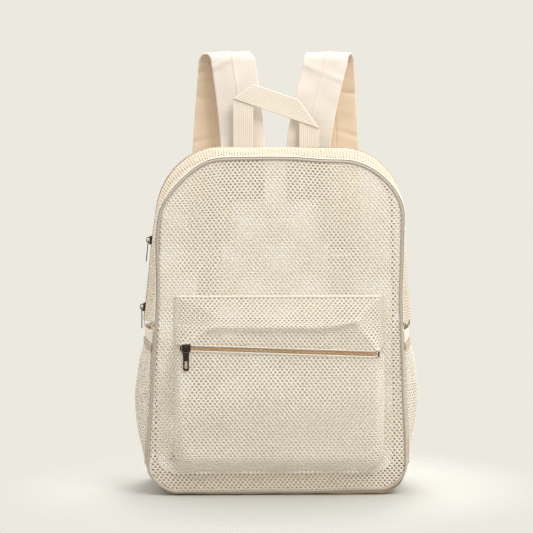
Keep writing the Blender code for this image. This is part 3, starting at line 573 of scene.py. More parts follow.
def ribbed_webbing(name, colour, pitch):
    """Woven webbing: round warp ribs along its length, crossed by fine picks."""
    made, tree, shader = new_material(name, 0.7, Sheen_Weight=0.15, Sheen_Roughness=0.4)
    cloth = cloth_coordinates(tree)
    ribs = wave(tree, cloth, pitch, "X")
    picks = wave(tree, cloth, 0.9 * MM, "Y", 0.4)
    colour_by(tree, shader, ribs, shaded(colour, 0.13), mottle(tree, colour, 0.05, 40.0))
    height = add(tree, "Math", {1: 0.25}, {0: picks, 2: ribs}, operation="MULTIPLY_ADD").outputs[0]
    bump(tree, shader, height, 0.4 * MM, 0.7)
    return made


def satin(name, colour):
    """Satin bias strip round a cord: a soft bright line along it and slanting pulls in the weave."""
    made, tree, shader = new_material(name, 0.42, Sheen_Weight=0.25, Sheen_Roughness=0.3)
    pulls = wave(tree, cloth_coordinates(tree), 1.6 * MM, "DIAGONAL", 0.8)
    colour_by(tree, shader, pulls, shaded(colour, 0.12), mottle(tree, colour, 0.08, 30.0))
    bump(tree, shader, pulls, 0.12 * MM)
    return made


def moulded(name, colour, roughness, grain):
    """Moulded plastic: smooth, with a faint cloudiness and a fine tool grain."""
    made, tree, shader = new_material(name, roughness, IOR=1.5)
    tree.links.new(mottle(tree, colour, 0.06, 60.0), shader.inputs["Base Color"])
    fine = add(tree, "TexNoise", {"Scale": grain, "Detail": 2.0},
               {"Vector": add(tree, "TexCoord").outputs["Object"]}).outputs["Fac"]
    bump(tree, shader, fine, 0.06 * MM, 0.3)
    return made


def gunmetal(name, colour):
    """Zinc casting with a dark gunmetal plating: glossy, worn paler in cloudy patches."""
    made, tree, shader = new_material(name, 0.28, Metallic=1.0)
    place = add(tree, "TexCoord").outputs["Object"]
    wear = add(tree, "TexNoise", {"Scale": 420.0, "Detail": 5.0, "Roughness": 0.65}, {"Vector": place})
    colour_by(tree, shader, wear.outputs["Fac"], (*(c * 0.45 for c in colour), 1.0), (*colour, 1.0))
    rough = add(tree, "MapRange", {"From Min": 0.3, "From Max": 0.7, "To Min": 0.2, "To Max": 0.38},
                {"Value": wear.outputs["Fac"]})
    tree.links.new(rough.outputs["Result"], shader.inputs["Roughness"])
    bump(tree, shader, wear.outputs["Fac"], 0.03 * MM, 0.25)
    return made


def material(name):
    """The material of that name, made when first asked for."""
    found = bpy.data.materials.get(name)
    if found:
        return found
    paint = colours()
    makers = {
        "warp-knit polyester mesh": lambda: knitted_polyester(name, tuple(paint.mesh)),
        # The gusset's and sides' mesh: the same knitted mesh in a darker painted shade
        "warp-knit polyester mesh in painted shade": lambda: knitted_polyester(name, tuple(paint.gusset)),
        "plain-woven polyester strap": lambda: woven_cloth(name, tuple(paint.strap), tuple(paint.inner_shade)),
        "plain-woven polyester tab": lambda: woven_cloth(name, tuple(paint.strap)),
        "plain-woven seam tape": lambda: woven_cloth(name, tuple(paint.mesh)),
        "woven polyester webbing": lambda: ribbed_webbing(name, tuple(paint.webbing), 2.6 * MM),
        "coated polyester base": lambda: woven_cloth(name, tuple(paint.base)),
        "knitted zip tape": lambda: ribbed_webbing(name, tuple(paint.tape), 1.1 * MM),
        "moulded nylon coil": lambda: moulded(name, tuple(paint.coil), 0.4, 900.0),
        "pale nylon coil": lambda: moulded(name, tuple(paint.main_coil), 0.4, 900.0),
        "satin piping": lambda: satin(name, tuple(paint.piping)),
        "grosgrain binding": lambda: ribbed_webbing(name, tuple(paint.binding), 1.0 * MM),
        "knitted elastic": lambda: ribbed_webbing(name, tuple(paint.elastic), 1.3 * MM),
        "gunmetal-plated zinc": lambda: gunmetal(name, tuple(paint.metal)),
        "moulded acetal": lambda: moulded(name, tuple(paint.acetal), 0.45, 700.0),
    }
    return makers[name]()


# ---------------------------------------------------------------- body panels

def build_main_panels():
    """Front and back nets inside the outline."""
    mesh = material("warp-knit polyester mesh")
    span_u, span_v = (-BASE_HALF, BASE_HALF), (0.0, BODY_HEIGHT)

    def cut(u, v, inset):
        return draw_in(u, v, PIPING_INSET + inset)

    for name, surface in (("front_net", front_surface), ("back_net", back_surface)):
        piece = net(name, surface, cut, span_u, span_v, drawn=1.0 if name == "front_net" else 0.975)
        finish_piece(piece, mesh, [name.replace("net", "panel")])


def build_base():
    """The base: flat on the floor, turned up through the two lower corner arcs."""
    angle = np.linspace(0, math.pi / 2, 14)
    arc_x = BASE_HALF - BASE_CORNER + (BASE_CORNER - 0.7 * MM) * np.sin(angle)
    arc_z = BASE_CORNER - (BASE_CORNER - 0.7 * MM) * np.cos(angle)
    flat = np.linspace(-(BASE_HALF - BASE_CORNER), BASE_HALF - BASE_CORNER, 60)[1:-1]
    x = np.concatenate([-arc_x[::-1], flat, arc_x])
    z = np.concatenate([arc_z[::-1], 0 * flat + 0.7 * MM, arc_z])
    y = np.linspace(-GUSSET_HALF - 1.5 * MM, GUSSET_HALF + 1.5 * MM, 40)
    lift = 0.5 * MM * (1 + ripple(x[:, None], y[None, :], 21, 0.08)) * smooth((z[:, None] + 0.004) / 0.006)
    grid = np.stack(np.broadcast_arrays(x[:, None], y[None, :], z[:, None] + lift), axis=-1)
    piece = slab("base_cloth", grid[:, ::-1], 1.2 * MM)
    finish_piece(piece, material("coated polyester base"), ["bottom_panel"])


def build_side_panels():
    """The nets low on each side, behind the side pockets; they swell a little towards the zip."""
    for side, sign in SIDES.items():
        def surface(u, v, sign=sign):
            share = np.clip((v - BASE_CORNER) / (SIDE_TOP - BASE_CORNER), 0, 1)
            crown = SIDE_CROWN * share ** 1.2 * (1 - np.clip(u / GUSSET_HALF, -1, 1) ** 2)
            return settle(np.stack([sign * (half_width(v) + crown), sign * u, v], axis=-1))

        def cut(u, v, inset):
            return (np.clip(u, -GUSSET_HALF - MM + inset, GUSSET_HALF + MM - inset),
                    np.clip(v, BASE_CORNER + inset, SIDE_TOP + 2 * MM - inset))

        piece = net(f"{side}_side_net", surface, cut, (-GUSSET_HALF, GUSSET_HALF), (BASE_CORNER, SIDE_TOP))
        finish_piece(piece, material("warp-knit polyester mesh in painted shade"), [f"{side}_side_panel"])


def build_gusset():
    """The two nets of the arch, from each seam to the zip, with a plain seam band along each seam."""
    length, table = arch_table(ZIP_LOW_Z)
    total = length[-1]
    inner, outer = STRIP_IN - 1.5 * MM, GUSSET_HALF + 2.0 * MM
    for where, sign in (("front", -1.0), ("rear", 1.0)):
        def surface(u, v, sign=sign):
            return on_arch(length, table, total - v, sign * u) if sign > 0 else on_arch(length, table, v, -u)

        def cut(u, v, inset):
            return np.clip(u, inner + inset, outer - inset), np.clip(v, inset, total - inset)

        piece = net(f"{where}_gusset_net", surface, cut, (inner, outer), (0, total))
        finish_piece(piece, material("warp-knit polyester mesh in painted shade"), [f"{where}_gusset_strip"])
        s = np.linspace(0, total, 420)
        across = np.linspace(GUSSET_HALF - 1.2 * MM, GUSSET_HALF + 2.6 * MM, 7)
        grid = on_arch(length, table, *np.broadcast_arrays(s[:, None], sign * across[None, :]), stand=0.9 * MM)
        piece = slab(f"{where}_seam_band", grid if sign < 0 else grid[:, ::-1], 0.7 * MM)
        finish_piece(piece, material("plain-woven seam tape"))


def build_piping():
    """A cord in a satin bias strip round each panel, with a little unevenness where it is sewn."""
    angle = np.linspace(0, 2 * math.pi, 720, endpoint=False)
    s = np.linspace(0, 1, 720, endpoint=False)
    corners = (((BASE_HALF - BASE_CORNER, BASE_CORNER), BASE_CORNER, -90),
               ((TOP_HALF - TOP_CORNER, SHOULDER_Z), TOP_CORNER, 0),
               ((-(TOP_HALF - TOP_CORNER), SHOULDER_Z), TOP_CORNER, 90),
               ((-(BASE_HALF - BASE_CORNER), BASE_CORNER), BASE_CORNER, 180))
    dense = []
    for (cx, cz), radius, start in corners:
        turn = np.radians(np.linspace(start, start + 90, 40))
        dense.append(np.stack([cx + (radius - PIPING_INSET) * np.cos(turn),
                               cz + (radius - PIPING_INSET) * np.sin(turn)], axis=-1))
    dense = np.concatenate(dense + [dense[0][:1]])
    far = np.concatenate([[0], np.cumsum(np.hypot(*np.diff(dense, axis=0).T))])
    line = np.stack([np.interp(s * far[-1], far, dense[:, k]) for k in (0, 1)], axis=-1)
    for where, y, seed in (("front", -SEAM_Y, 31), ("rear", SEAM_Y, 32)):
        wander = 0.25 * MM * ripple(np.cos(angle), np.sin(angle), seed, 0.35)
        path = settle(np.stack([line[:, 0], y + wander, line[:, 1]], axis=-1))
        piece = tube(f"{where}_piping_cord", path, sizes().piping_radius, around=12, wrap=True)
        finish_piece(piece, material("satin piping"), [f"{where}_piping"])


# ---------------------------------------------------------------- zips

def coil_turns(name, frame_at, total, side):
    """One side of a zip's coil: a wire bent into a loop at each pitch, leaning towards the other side.

    frame_at(s) gives the point and the directions across and out at arc length s. Each turn is a
    five-sided wire along half an oval from the tape to the zip's middle and back over the top.
    """
    pitch = sizes().coil_pitch
    s0 = np.arange(pitch / 2, total - pitch / 2, pitch) + (pitch / 2 if side > 0 else 0.0)
    t = np.linspace(0, 1, 7)
    angle = math.pi * (t - 0.5)
    across = side * (2.0 * MM - 1.75 * MM * np.cos(angle))
    out = 0.50 * MM + 0.5 * MM * np.sin(angle)
    along = (t - 0.5) * pitch * 0.5
    point, wide, high, ahead = frame_at(s0)
    path = (point[:, None] + wide[:, None] * across[None, :, None] + high[:, None] * out[None, :, None]
            + ahead[:, None] * along[None, :, None])
    tangent = unit(np.gradient(path, axis=1))
    one = unit(np.cross(tangent, ahead[:, None]))
    two = np.cross(tangent, one)
    turn = np.linspace(0, 2 * math.pi, 5, endpoint=False)
    ring = path[:, :, None] + 0.36 * MM * (np.cos(turn)[:, None] * one[:, :, None]
                                           + np.sin(turn)[:, None] * two[:, :, None])
    count = len(s0)
    faces = grid_faces(len(t), 5, wrap_cols=True)
    faces = (faces[None] + (np.arange(count) * len(t) * 5)[:, None, None]).reshape(-1, 4)
    return new_mesh(name, ring.reshape(-1, 3), faces)


def build_main_zip():
    """Two knitted tapes over the arch with a coil on each, and a cloth tab over each end."""
    length, table = arch_table(ZIP_LOW_Z)
    total = length[-1]

    def frame_at(s):
        x, z, nx, nz, crown = (np.interp(s, length, table[:, k]) for k in range(5))
        point = on_arch(length, table, s, 0 * s)
        ahead = unit(on_arch(length, table, s + 0.5 * MM, 0 * s) - on_arch(length, table, s - 0.5 * MM, 0 * s))
        wide = np.broadcast_to(np.array([0.0, 1.0, 0.0]), point.shape)
        return point, wide, unit(np.stack([nx, 0 * nx, nz], axis=-1)), ahead

    s = np.linspace(0, total, 500)
    for where, sign in (("front", -1.0), ("rear", 1.0)):
        across = sign * np.linspace(2.1 * MM, 13.5 * MM, 9)
        grid = on_arch(length, table, *np.broadcast_arrays(s[:, None], across[None, :]), stand=-0.7 * MM)
        piece = slab(f"main_zip_{where}_cloth", grid if sign < 0 else grid[:, ::-1], 0.6 * MM, edge=0.3 * MM)
        finish_piece(piece, material("knitted zip tape"), [f"main_zip_{where}_tape"])
        piece = coil_turns(f"main_zip_{where}_teeth", frame_at, total, sign)
        finish_piece(piece, material("pale nylon coil"), [f"main_zip_{where}_coil"])
    for side, sign in SIDES.items():
        low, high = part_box(f"{side}_zip_end_tab")
        y, z = np.meshgrid(np.linspace(-13 * MM, 13 * MM, 14), np.linspace(low.z - 2 * MM, high.z, 10))
        x = sign * (ZIP_LOW_X - 0.6 * MM + 0.4 * MM * np.cos(y / (13 * MM) * math.pi / 2))
        grid = settle(np.stack([x, y, z], axis=-1))
        piece = slab(f"{side}_zip_end_cloth", grid if sign > 0 else grid[:, ::-1], 0.9 * MM)
        finish_piece(piece, material("knitted zip tape"), [f"{side}_zip_end_tab"])


def pocket_zip_point(x, off=0.0, out=0.0):
    """A point of the pocket's zip: a straight line with a slight tilt that kicks up at its right end."""
    kick = 2.6 * MM * smooth((x - 0.1105) / 0.010)
    z = POCKET_ZIP_Z - math.tan(POCKET_ZIP_TILT) * x + kick
    return np.stack(np.broadcast_arrays(x, -POCKET_Y - out, z + off / math.cos(POCKET_ZIP_TILT)), axis=-1)


def build_pocket_zip():
    """Tapes and coils of the front pocket's zip."""
    x = np.linspace(-POCKET_ZIP_HALF - 2 * MM, POCKET_ZIP_HALF + 2 * MM, 150)

    def frame_at(s):
        at = s - POCKET_ZIP_HALF
        point = pocket_zip_point(at)
        ahead = unit(pocket_zip_point(at + 0.5 * MM) - pocket_zip_point(at - 0.5 * MM))
        out = np.broadcast_to(np.array([0.0, -1.0, 0.0]), point.shape)
        return point, np.cross(out, ahead), out, ahead

    for where, sign in (("upper", 1.0), ("lower", -1.0)):
        across = np.sort(sign * np.linspace(2.1 * MM, 7.5 * MM, 6))
        grid = pocket_zip_point(x[:, None], across[None, :], -0.3 * MM)
        cloth = pocket_surface_xz(grid[..., 0], grid[..., 2])[..., 1] + 0.9 * MM
        grid[..., 1] = np.where(np.abs(across) > POCKET_HEM, np.maximum(grid[..., 1], cloth), grid[..., 1])
        piece = slab(f"pocket_zip_{where}_cloth", grid[:, ::-1], 0.6 * MM, edge=0.3 * MM)
        finish_piece(piece, material("knitted zip tape"), [f"front_pocket_zip_{where}_tape"])
        piece = coil_turns(f"pocket_zip_{where}_teeth", frame_at, 2 * POCKET_ZIP_HALF, sign)
        finish_piece(piece, material("moulded nylon coil"), [f"front_pocket_zip_{where}_coil"])


# ---------------------------------------------------------------- front pocket

def rounded_inside(x, z):
    """Distance inwards from the pocket's side and base seams: a rounded box with no top."""
    radius = 24 * MM
    px = np.abs(x) - (POCKET_HALF - radius)
    pz = (POCKET_BASE_Z + radius) - z
    corner = (px > 0) & (pz > 0)
    return np.where(corner, radius - np.hypot(px, pz), radius - np.maximum(px, pz))


def pocket_draw_in(x, z, inset):
    """Moves points outside the pocket's side and base seams, less inset, onto them."""
    radius = 24 * MM
    cx, cz = POCKET_HALF - radius, POCKET_BASE_Z + radius
    px, pz = np.abs(x) - cx, cz - z
    corner = (px > 0) & (pz > 0)
    reach = np.maximum(np.hypot(px, pz), 1e-9)
    shrink = np.where(corner, np.minimum(1.0, (radius - inset) / reach), 1.0)
    new_x = np.where(corner, cx + px * shrink, np.minimum(np.abs(x), POCKET_HALF - inset))
    new_z = np.where(corner, cz - pz * shrink, np.maximum(z, POCKET_BASE_Z + inset))
    return np.sign(x) * new_x, new_z


def pocket_stand(x, z):
    """How far out the pocket's cloth lies, from the seam to its front, as a share.

    It is the least of four rises, rounded where they meet: off the side and base seams as a quarter
    circle, off the top seam as the sloping shelf, and off each upper corner as a slack fold.
    """
    inside = np.maximum(rounded_inside(x, z), 0.0)
    width = 11 * MM + 16 * MM * smooth((0.085 - z) / 0.05) * smooth(1.2 - np.abs(x) / POCKET_HALF * 0.4)
    side = np.sqrt(np.clip(1 - (1 - np.clip(inside / width, 0, 1)) ** 2, 0, 1))
    crease = 34.5 * MM + 1.5 * MM * np.sin(x * 19) - 10 * MM * smooth((x - 0.04) / 0.08)
    shelf = np.clip((POCKET_TOP_Z - z) / crease, 0, 4)
    slack = np.exp(-(z - POCKET_ZIP_Z - 4 * MM) / 0.0125)
    full = POCKET_Y - SEAM_Y
    left = (x + POCKET_HALF) * (0.24 + 2.1 * slack) / full
    right = (POCKET_HALF - x) * (0.55 + 1.9 * slack) / full
    low = soft_least(side, soft_least(left, right, 0.05), 0.05)
    return np.clip(soft_least(soft_least(shelf, low, 0.035), 1.0 + 0 * x, 0.03), 0.0, 1.0)


def pocket_surface_xz(x, z):
    """The pocket's cloth over its own outline: from the panel out to its front, with a belly below."""
    share = pocket_stand(x, z)
    t = np.clip((POCKET_ZIP_Z - z) / (POCKET_ZIP_Z - POCKET_BASE_Z), 0, 1)
    belly = POCKET_BELLY * np.sin(math.pi * np.clip(t / 0.9, 0, 1)) ** 2
    back = SEAM_Y + front_rise(x, z) + 1.0 * MM
    uneven = 1.3 * MM * ripple(x, z, 41, 0.075) * share * smooth(np.abs(z - POCKET_ZIP_Z) / 0.03)
    fold_line = (POCKET_TOP_Z - z) / (34.5 * MM - 10 * MM * smooth((x - 0.04) / 0.08))
    lip = 5.0 * MM * np.exp(-((fold_line - 1.0) / 0.13) ** 2) * smooth((share - 0.6) / 0.4)
    hem = 0.6 * MM * np.exp(-((z - pocket_zip_point(x)[..., 2]) / 0.008) ** 2)
    y = back + (POCKET_Y + hem + belly - back) * share + uneven + lip
    return np.stack([x, -y, z], axis=-1)


def arc_lookup(values, heights):
    """Cloth length along a profile, to place cloth points by their own length: (length, value)."""
    steps = np.hypot(np.diff(values), np.diff(heights))
    return np.concatenate([[0.0], np.cumsum(steps)]), values


def build_front_pocket():
    """The two nets of the front pocket, their hems along the zip and the bound top seam."""
    x = np.linspace(-POCKET_HALF, POCKET_HALF, 600)
    row = pocket_surface_xz(x, 0 * x + 0.140)
    u_of, x_of = arc_lookup(x, row[:, 1])
    u_of = u_of - u_of[-1] / 2
    z = np.linspace(POCKET_BASE_Z, POCKET_TOP_Z, 600)
    column = pocket_surface_xz(0 * z + 0.01, z)
    v_of, z_of = arc_lookup(z, column[:, 1])

    def place(u, v):
        return np.interp(u, u_of, x_of), np.interp(v, v_of, z_of)

    def surface(u, v):
        return pocket_surface_xz(*place(u, v))

    def cut_between(low_of, high_of):
        def cut(u, v, inset):
            px, pz = place(u, v)
            px, pz = pocket_draw_in(px, pz, inset)
            pz = np.clip(pz, low_of(px) + inset, high_of(px) - inset)
            return np.interp(px, x_of, u_of), np.interp(pz, z_of, v_of)
        return cut

    def hem_line(sign):
        return lambda px: pocket_zip_point(px, sign * POCKET_HEM)[..., 2]

    edges = {"upper": (hem_line(1), lambda px: 0 * px + POCKET_TOP_Z),
             "lower": (lambda px: 0 * px + POCKET_BASE_Z, hem_line(-1))}
    for where, (low_of, high_of) in edges.items():
        piece = net(f"pocket_{where}_net", surface, cut_between(low_of, high_of),
                    (u_of[0], u_of[-1]), (v_of[0], v_of[-1]))
        finish_piece(piece, material("warp-knit polyester mesh"),
                     [f"front_pocket_{where}_panel"])
        tall = np.interp(POCKET_TOP_Z if where == "upper" else POCKET_ZIP_Z, z_of, v_of)
        tall -= np.interp(POCKET_ZIP_Z, z_of, v_of) if where == "upper" else 0.0
    x = np.linspace(-POCKET_HALF + 5 * MM, POCKET_HALF - 5 * MM, 220)
    for where, sign in (("upper", 1.0), ("lower", -1.0)):
        across = np.sort(sign * (POCKET_HEM + np.linspace(-0.4, 1.5, 6) * MM))
        level = pocket_zip_point(x[:, None], across[None, :])
        grid = pocket_surface_xz(level[..., 0], level[..., 2])
        grid[..., 1] -= 0.5 * MM
        piece = slab(f"pocket_zip_{where}_hem", grid[:, ::-1], 0.8 * MM)
        finish_piece(piece, material("warp-knit polyester mesh"))
    across = np.linspace(-1.2, 1.1, 6) * MM
    x = np.linspace(-POCKET_HALF + 3 * MM, POCKET_HALF - 3 * MM, 220)
    grid = pocket_surface_xz(*np.broadcast_arrays(x[:, None], POCKET_TOP_Z + across[None, :]))
    grid[..., 1] -= 0.9 * MM
    piece = slab("pocket_top_seam", grid[:, ::-1], 1.0 * MM)
    finish_piece(piece, material("warp-knit polyester mesh"))


# ---------------------------------------------------------------- side pockets

def side_reach(z, y):
    """How far a side pocket stands out: a swell between its base and its mouth, gathered to the seams."""
    t = np.clip((z - SIDE_POCKET_BASE_Z) / (SIDE_POCKET_TOP_Z - SIDE_POCKET_BASE_Z), 0, 1)
    least, mouth, swell = 1.9 * MM, 11.4 * MM, 13.6 * MM
    middle = (mouth - least) * t + swell * np.sin(math.pi * t) ** 0.8
    share = 1 - np.clip(np.abs(y) / SIDE_POCKET_HALF, 0, 1) ** 2.6
    return least + middle * share + 1.2 * MM * ripple(y, z, 51, 0.07) * share


def side_point(sign, y, z, out=0.0):
    droop = 4.5 * MM * np.clip(np.abs(y) / SIDE_POCKET_HALF, 0, 1) ** 2
    droop = droop * smooth((z - 0.13) / 0.05) * (1 - smooth((z - 0.189) / 0.016))
    x = sign * (half_width(z) + side_reach(z, y) + out)
    return settle(np.stack(np.broadcast_arrays(x, y, z - droop), axis=-1))


def build_side_pockets():
    """Net, binding and elastic of the two open side pockets."""
    y = np.linspace(-SIDE_POCKET_HALF, SIDE_POCKET_HALF, 400)
    u_of, y_of = arc_lookup(y, side_reach(0 * y + 0.11, y))
    u_of = u_of - u_of[-1] / 2
    for side, sign in SIDES.items():
        def surface(u, v, sign=sign):
            return side_point(sign, sign * np.interp(u, u_of, y_of), v)

        def cut(u, v, inset):
            return (np.clip(u, u_of[0] + inset, u_of[-1] - inset),
                    np.clip(v, SIDE_POCKET_BASE_Z + inset, SIDE_POCKET_TOP_Z + 2 * MM - inset))

        piece = net(f"{side}_pocket_net", surface, cut, (u_of[0], u_of[-1]),
                    (SIDE_POCKET_BASE_Z, SIDE_POCKET_TOP_Z))
        finish_piece(piece, material("warp-knit polyester mesh"), [f"{side}_pocket_mesh"])
        across = np.linspace(-SIDE_POCKET_HALF, SIDE_POCKET_HALF, 90)
        for name, kind, slot, thickness, lift in (
                ("binding", "grosgrain binding", "binding_tape", 2.0 * MM, 0.2 * MM),
                ("elastic", "knitted elastic", "ribbed_elastic", 1.2 * MM, -0.5 * MM)):
            low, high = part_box(f"{side}_pocket_{name}")
            z = np.linspace(low.z - 0.4 * MM, high.z, 9)
            grid = side_point(sign, *np.broadcast_arrays(across[:, None], z[None, :]), out=lift)
            piece = slab(f"{side}_pocket_{name}_cloth", grid[:, ::-1] if sign < 0 else grid, thickness)
            finish_piece(piece, material(kind), [f"{side}_pocket_{name}"])


# ---------------------------------------------------------------- handle and straps

def fold(points, corner, slope, radius, sign):
    """Folds what lies beyond a slanting line in the XZ plane flat over, round a small radius.

    The distance d beyond the line runs round half a circle while d < pi r and then straight back,
    so the cloth is neither stretched nor cut. sign is -1 to fold to the front and 1 to the back.
    """
    across = np.array([-math.sin(slope), 0.0, math.cos(slope)])
    d = (points - corner) @ across
    turn = np.clip(d / radius, 0, math.pi)
    past = np.maximum(d - math.pi * radius, 0.0)
    moved = np.where(d > 0, radius * np.sin(turn) - past, d)
    lift = np.where(d > 0, sign * radius * (1 - np.cos(turn)), 0.0)
    points = points + (moved - d)[..., None] * across
    points[..., 1] += lift
    return points


def build_handle():
    """The grab handle: one length of webbing, folded at both upper corners so that its grip slants."""
    thickness = sizes().webbing_thickness
    left, right = -STRAP_X, STRAP_X
    first = np.array([left - WEBBING / 2, 0.0, 476.4 * MM])
    slope_one = math.radians(35.5)
    grip = 2 * slope_one - math.pi / 2
    slope_two = (grip - math.pi / 2) / 2
    radius = 0.95 * MM
    a = np.linspace(0, 248 * MM, 330)
    b = np.linspace(-WEBBING / 2, WEBBING / 2, 44)
    flat = np.zeros((len(a), len(b), 3))
    flat[..., 0] = left + b[None, :]
    flat[..., 2] = HANDLE_FOOT_Z - 2 * MM + a[:, None]
    points = fold(flat, first, slope_one, radius, -1.0)
    drop = first[2] + (right + WEBBING / 2 - first[0]) * math.tan(grip)
    second = np.array([right + WEBBING / 2, 0.0, drop])
    across = np.array([-math.sin(slope_two), 0.0, math.cos(slope_two)])
    beyond = (points - second) @ across
    on_grip = a[:, None] + 0 * b[None, :] > 0.12
    folded = fold(points, second, slope_two, radius, 1.0)
    points = np.where((on_grip & (beyond > 0))[..., None], folded, points)
    sway = 1.6 * MM * np.sin((points[..., 0] + 0.01) * 55) * smooth((points[..., 2] - 0.43) / 0.03)
    points[..., 1] += HANDLE_Y + sway
    points[..., 2] = np.maximum(points[..., 2], HANDLE_FOOT_Z - 2 * MM)
    piece = slab("handle_webbing", points[:, ::-1], thickness, edge=0.5 * MM)
    finish_piece(piece, material("woven polyester webbing"), ["grab_handle"], body=None)
    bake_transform(piece)


def strap_line(side, count=330):
    """Centre line of a shoulder strap, evenly spaced: up the front leg, half a turn over the crest,
    and down the rear leg, its x moving out on the way."""
    front_x, rear_x = STRAP_CREST_X[side]
    foot_y, foot_z = STRAP_FOOT
    front_y = foot_y + 6 * MM
    radius = (STRAP_REAR_Y - front_y) / 2
    turn_z = STRAP_CREST_Z - radius - 3.2 * MM
    t = np.linspace(0, 1, 80)
    up = np.stack([STRAP_X + (front_x - STRAP_X) * t ** 1.4, foot_y + 6 * MM * t * t,
                   foot_z + (turn_z - foot_z) * t], axis=-1)
    angle = math.pi * (1 - t[1:])
    over = np.stack([front_x + (rear_x - front_x) * smooth(t[1:]), front_y + radius + radius * np.cos(angle),
                     turn_z + radius * np.sin(angle)], axis=-1)
    end_x, end_y, end_z = STRAP_END
    down = np.stack([rear_x + (end_x - rear_x) * t[1:], STRAP_REAR_Y + (end_y - STRAP_REAR_Y) * t[1:],
                     turn_z + (end_z - turn_z) * t[1:]], axis=-1)
    line = np.concatenate([up, over, down])
    far = np.concatenate([[0], np.cumsum(np.linalg.norm(np.diff(line, axis=0), axis=-1))])
    s = np.linspace(0, far[-1], count)
    even = np.stack([np.interp(s, far, line[:, k]) for k in range(3)], axis=-1)
    return even * (SIDES[side], 1, 1), s


def build_straps():
    """Each shoulder strap: two layers sewn flat with a seam down the middle. Its halves stand at a
    slight angle to each other, and a few slanting folds and finer wrinkles cross it."""
    folds = {"left": ((0.118, 0.5, 2.0), (0.158, -0.35, 1.8), (0.205, 0.25, 1.6), (0.250, -0.2, 1.4)),
             "right": ((0.100, -0.4, 1.6), (0.190, 0.12, 2.4), (0.240, 0.3, 1.5), (0.300, -0.2, 1.2))}
    for side, sign in SIDES.items():
        line, s = strap_line(side)
        width = sizes().strap_width
        b = np.linspace(-width / 2, width / 2, 57)
        ahead = unit(np.gradient(line, axis=0))
        face = unit(np.cross(ahead, (1.0, 0.0, 0.0)))
        share = np.abs(b)[None, :] / (width / 2)
        crest = np.exp(-((s[:, None] - 0.135) / 0.05) ** 2)
        out = 0.8 * MM * np.exp(-(b[None, :] / (1.2 * MM)) ** 2)
        out = out + (2.6 * sign * (1 - crest) - 1.4 * crest) * MM * share ** 1.2
        for at, slant, depth in folds[side]:
            far = s[:, None] - at - slant * b[None, :]
            out = out + depth * MM * np.exp(-(far / (4 * MM)) ** 2) * (0.4 + 0.6 * share)
        out = out + 0.9 * MM * ripple(b[None, :] * 1.3, s[:, None], 61 + int(sign), 0.045)
        out = out + 0.4 * MM * ripple(b[None, :] * 0.4, s[:, None], 71 + int(sign), 0.012) * (
            np.exp(-((s[:, None] - 0.19) / 0.04) ** 2))
        fade = smooth(s / 0.02)[:, None] * smooth((s[-1] - s) / 0.03)[:, None]
        grid = line[:, None] + b[None, :, None] * np.array([1.0, 0, 0]) - face[:, None] * (out * fade)[..., None]
        piece = slab(f"{side}_strap_cloth", grid, sizes().strap_thickness, edge=1.2 * MM)
        finish_piece(piece, material("plain-woven polyester strap"),
                     [f"{side}_shoulder_strap"], body=None)
        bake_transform(piece)
        build_strap_ends(side, sign)


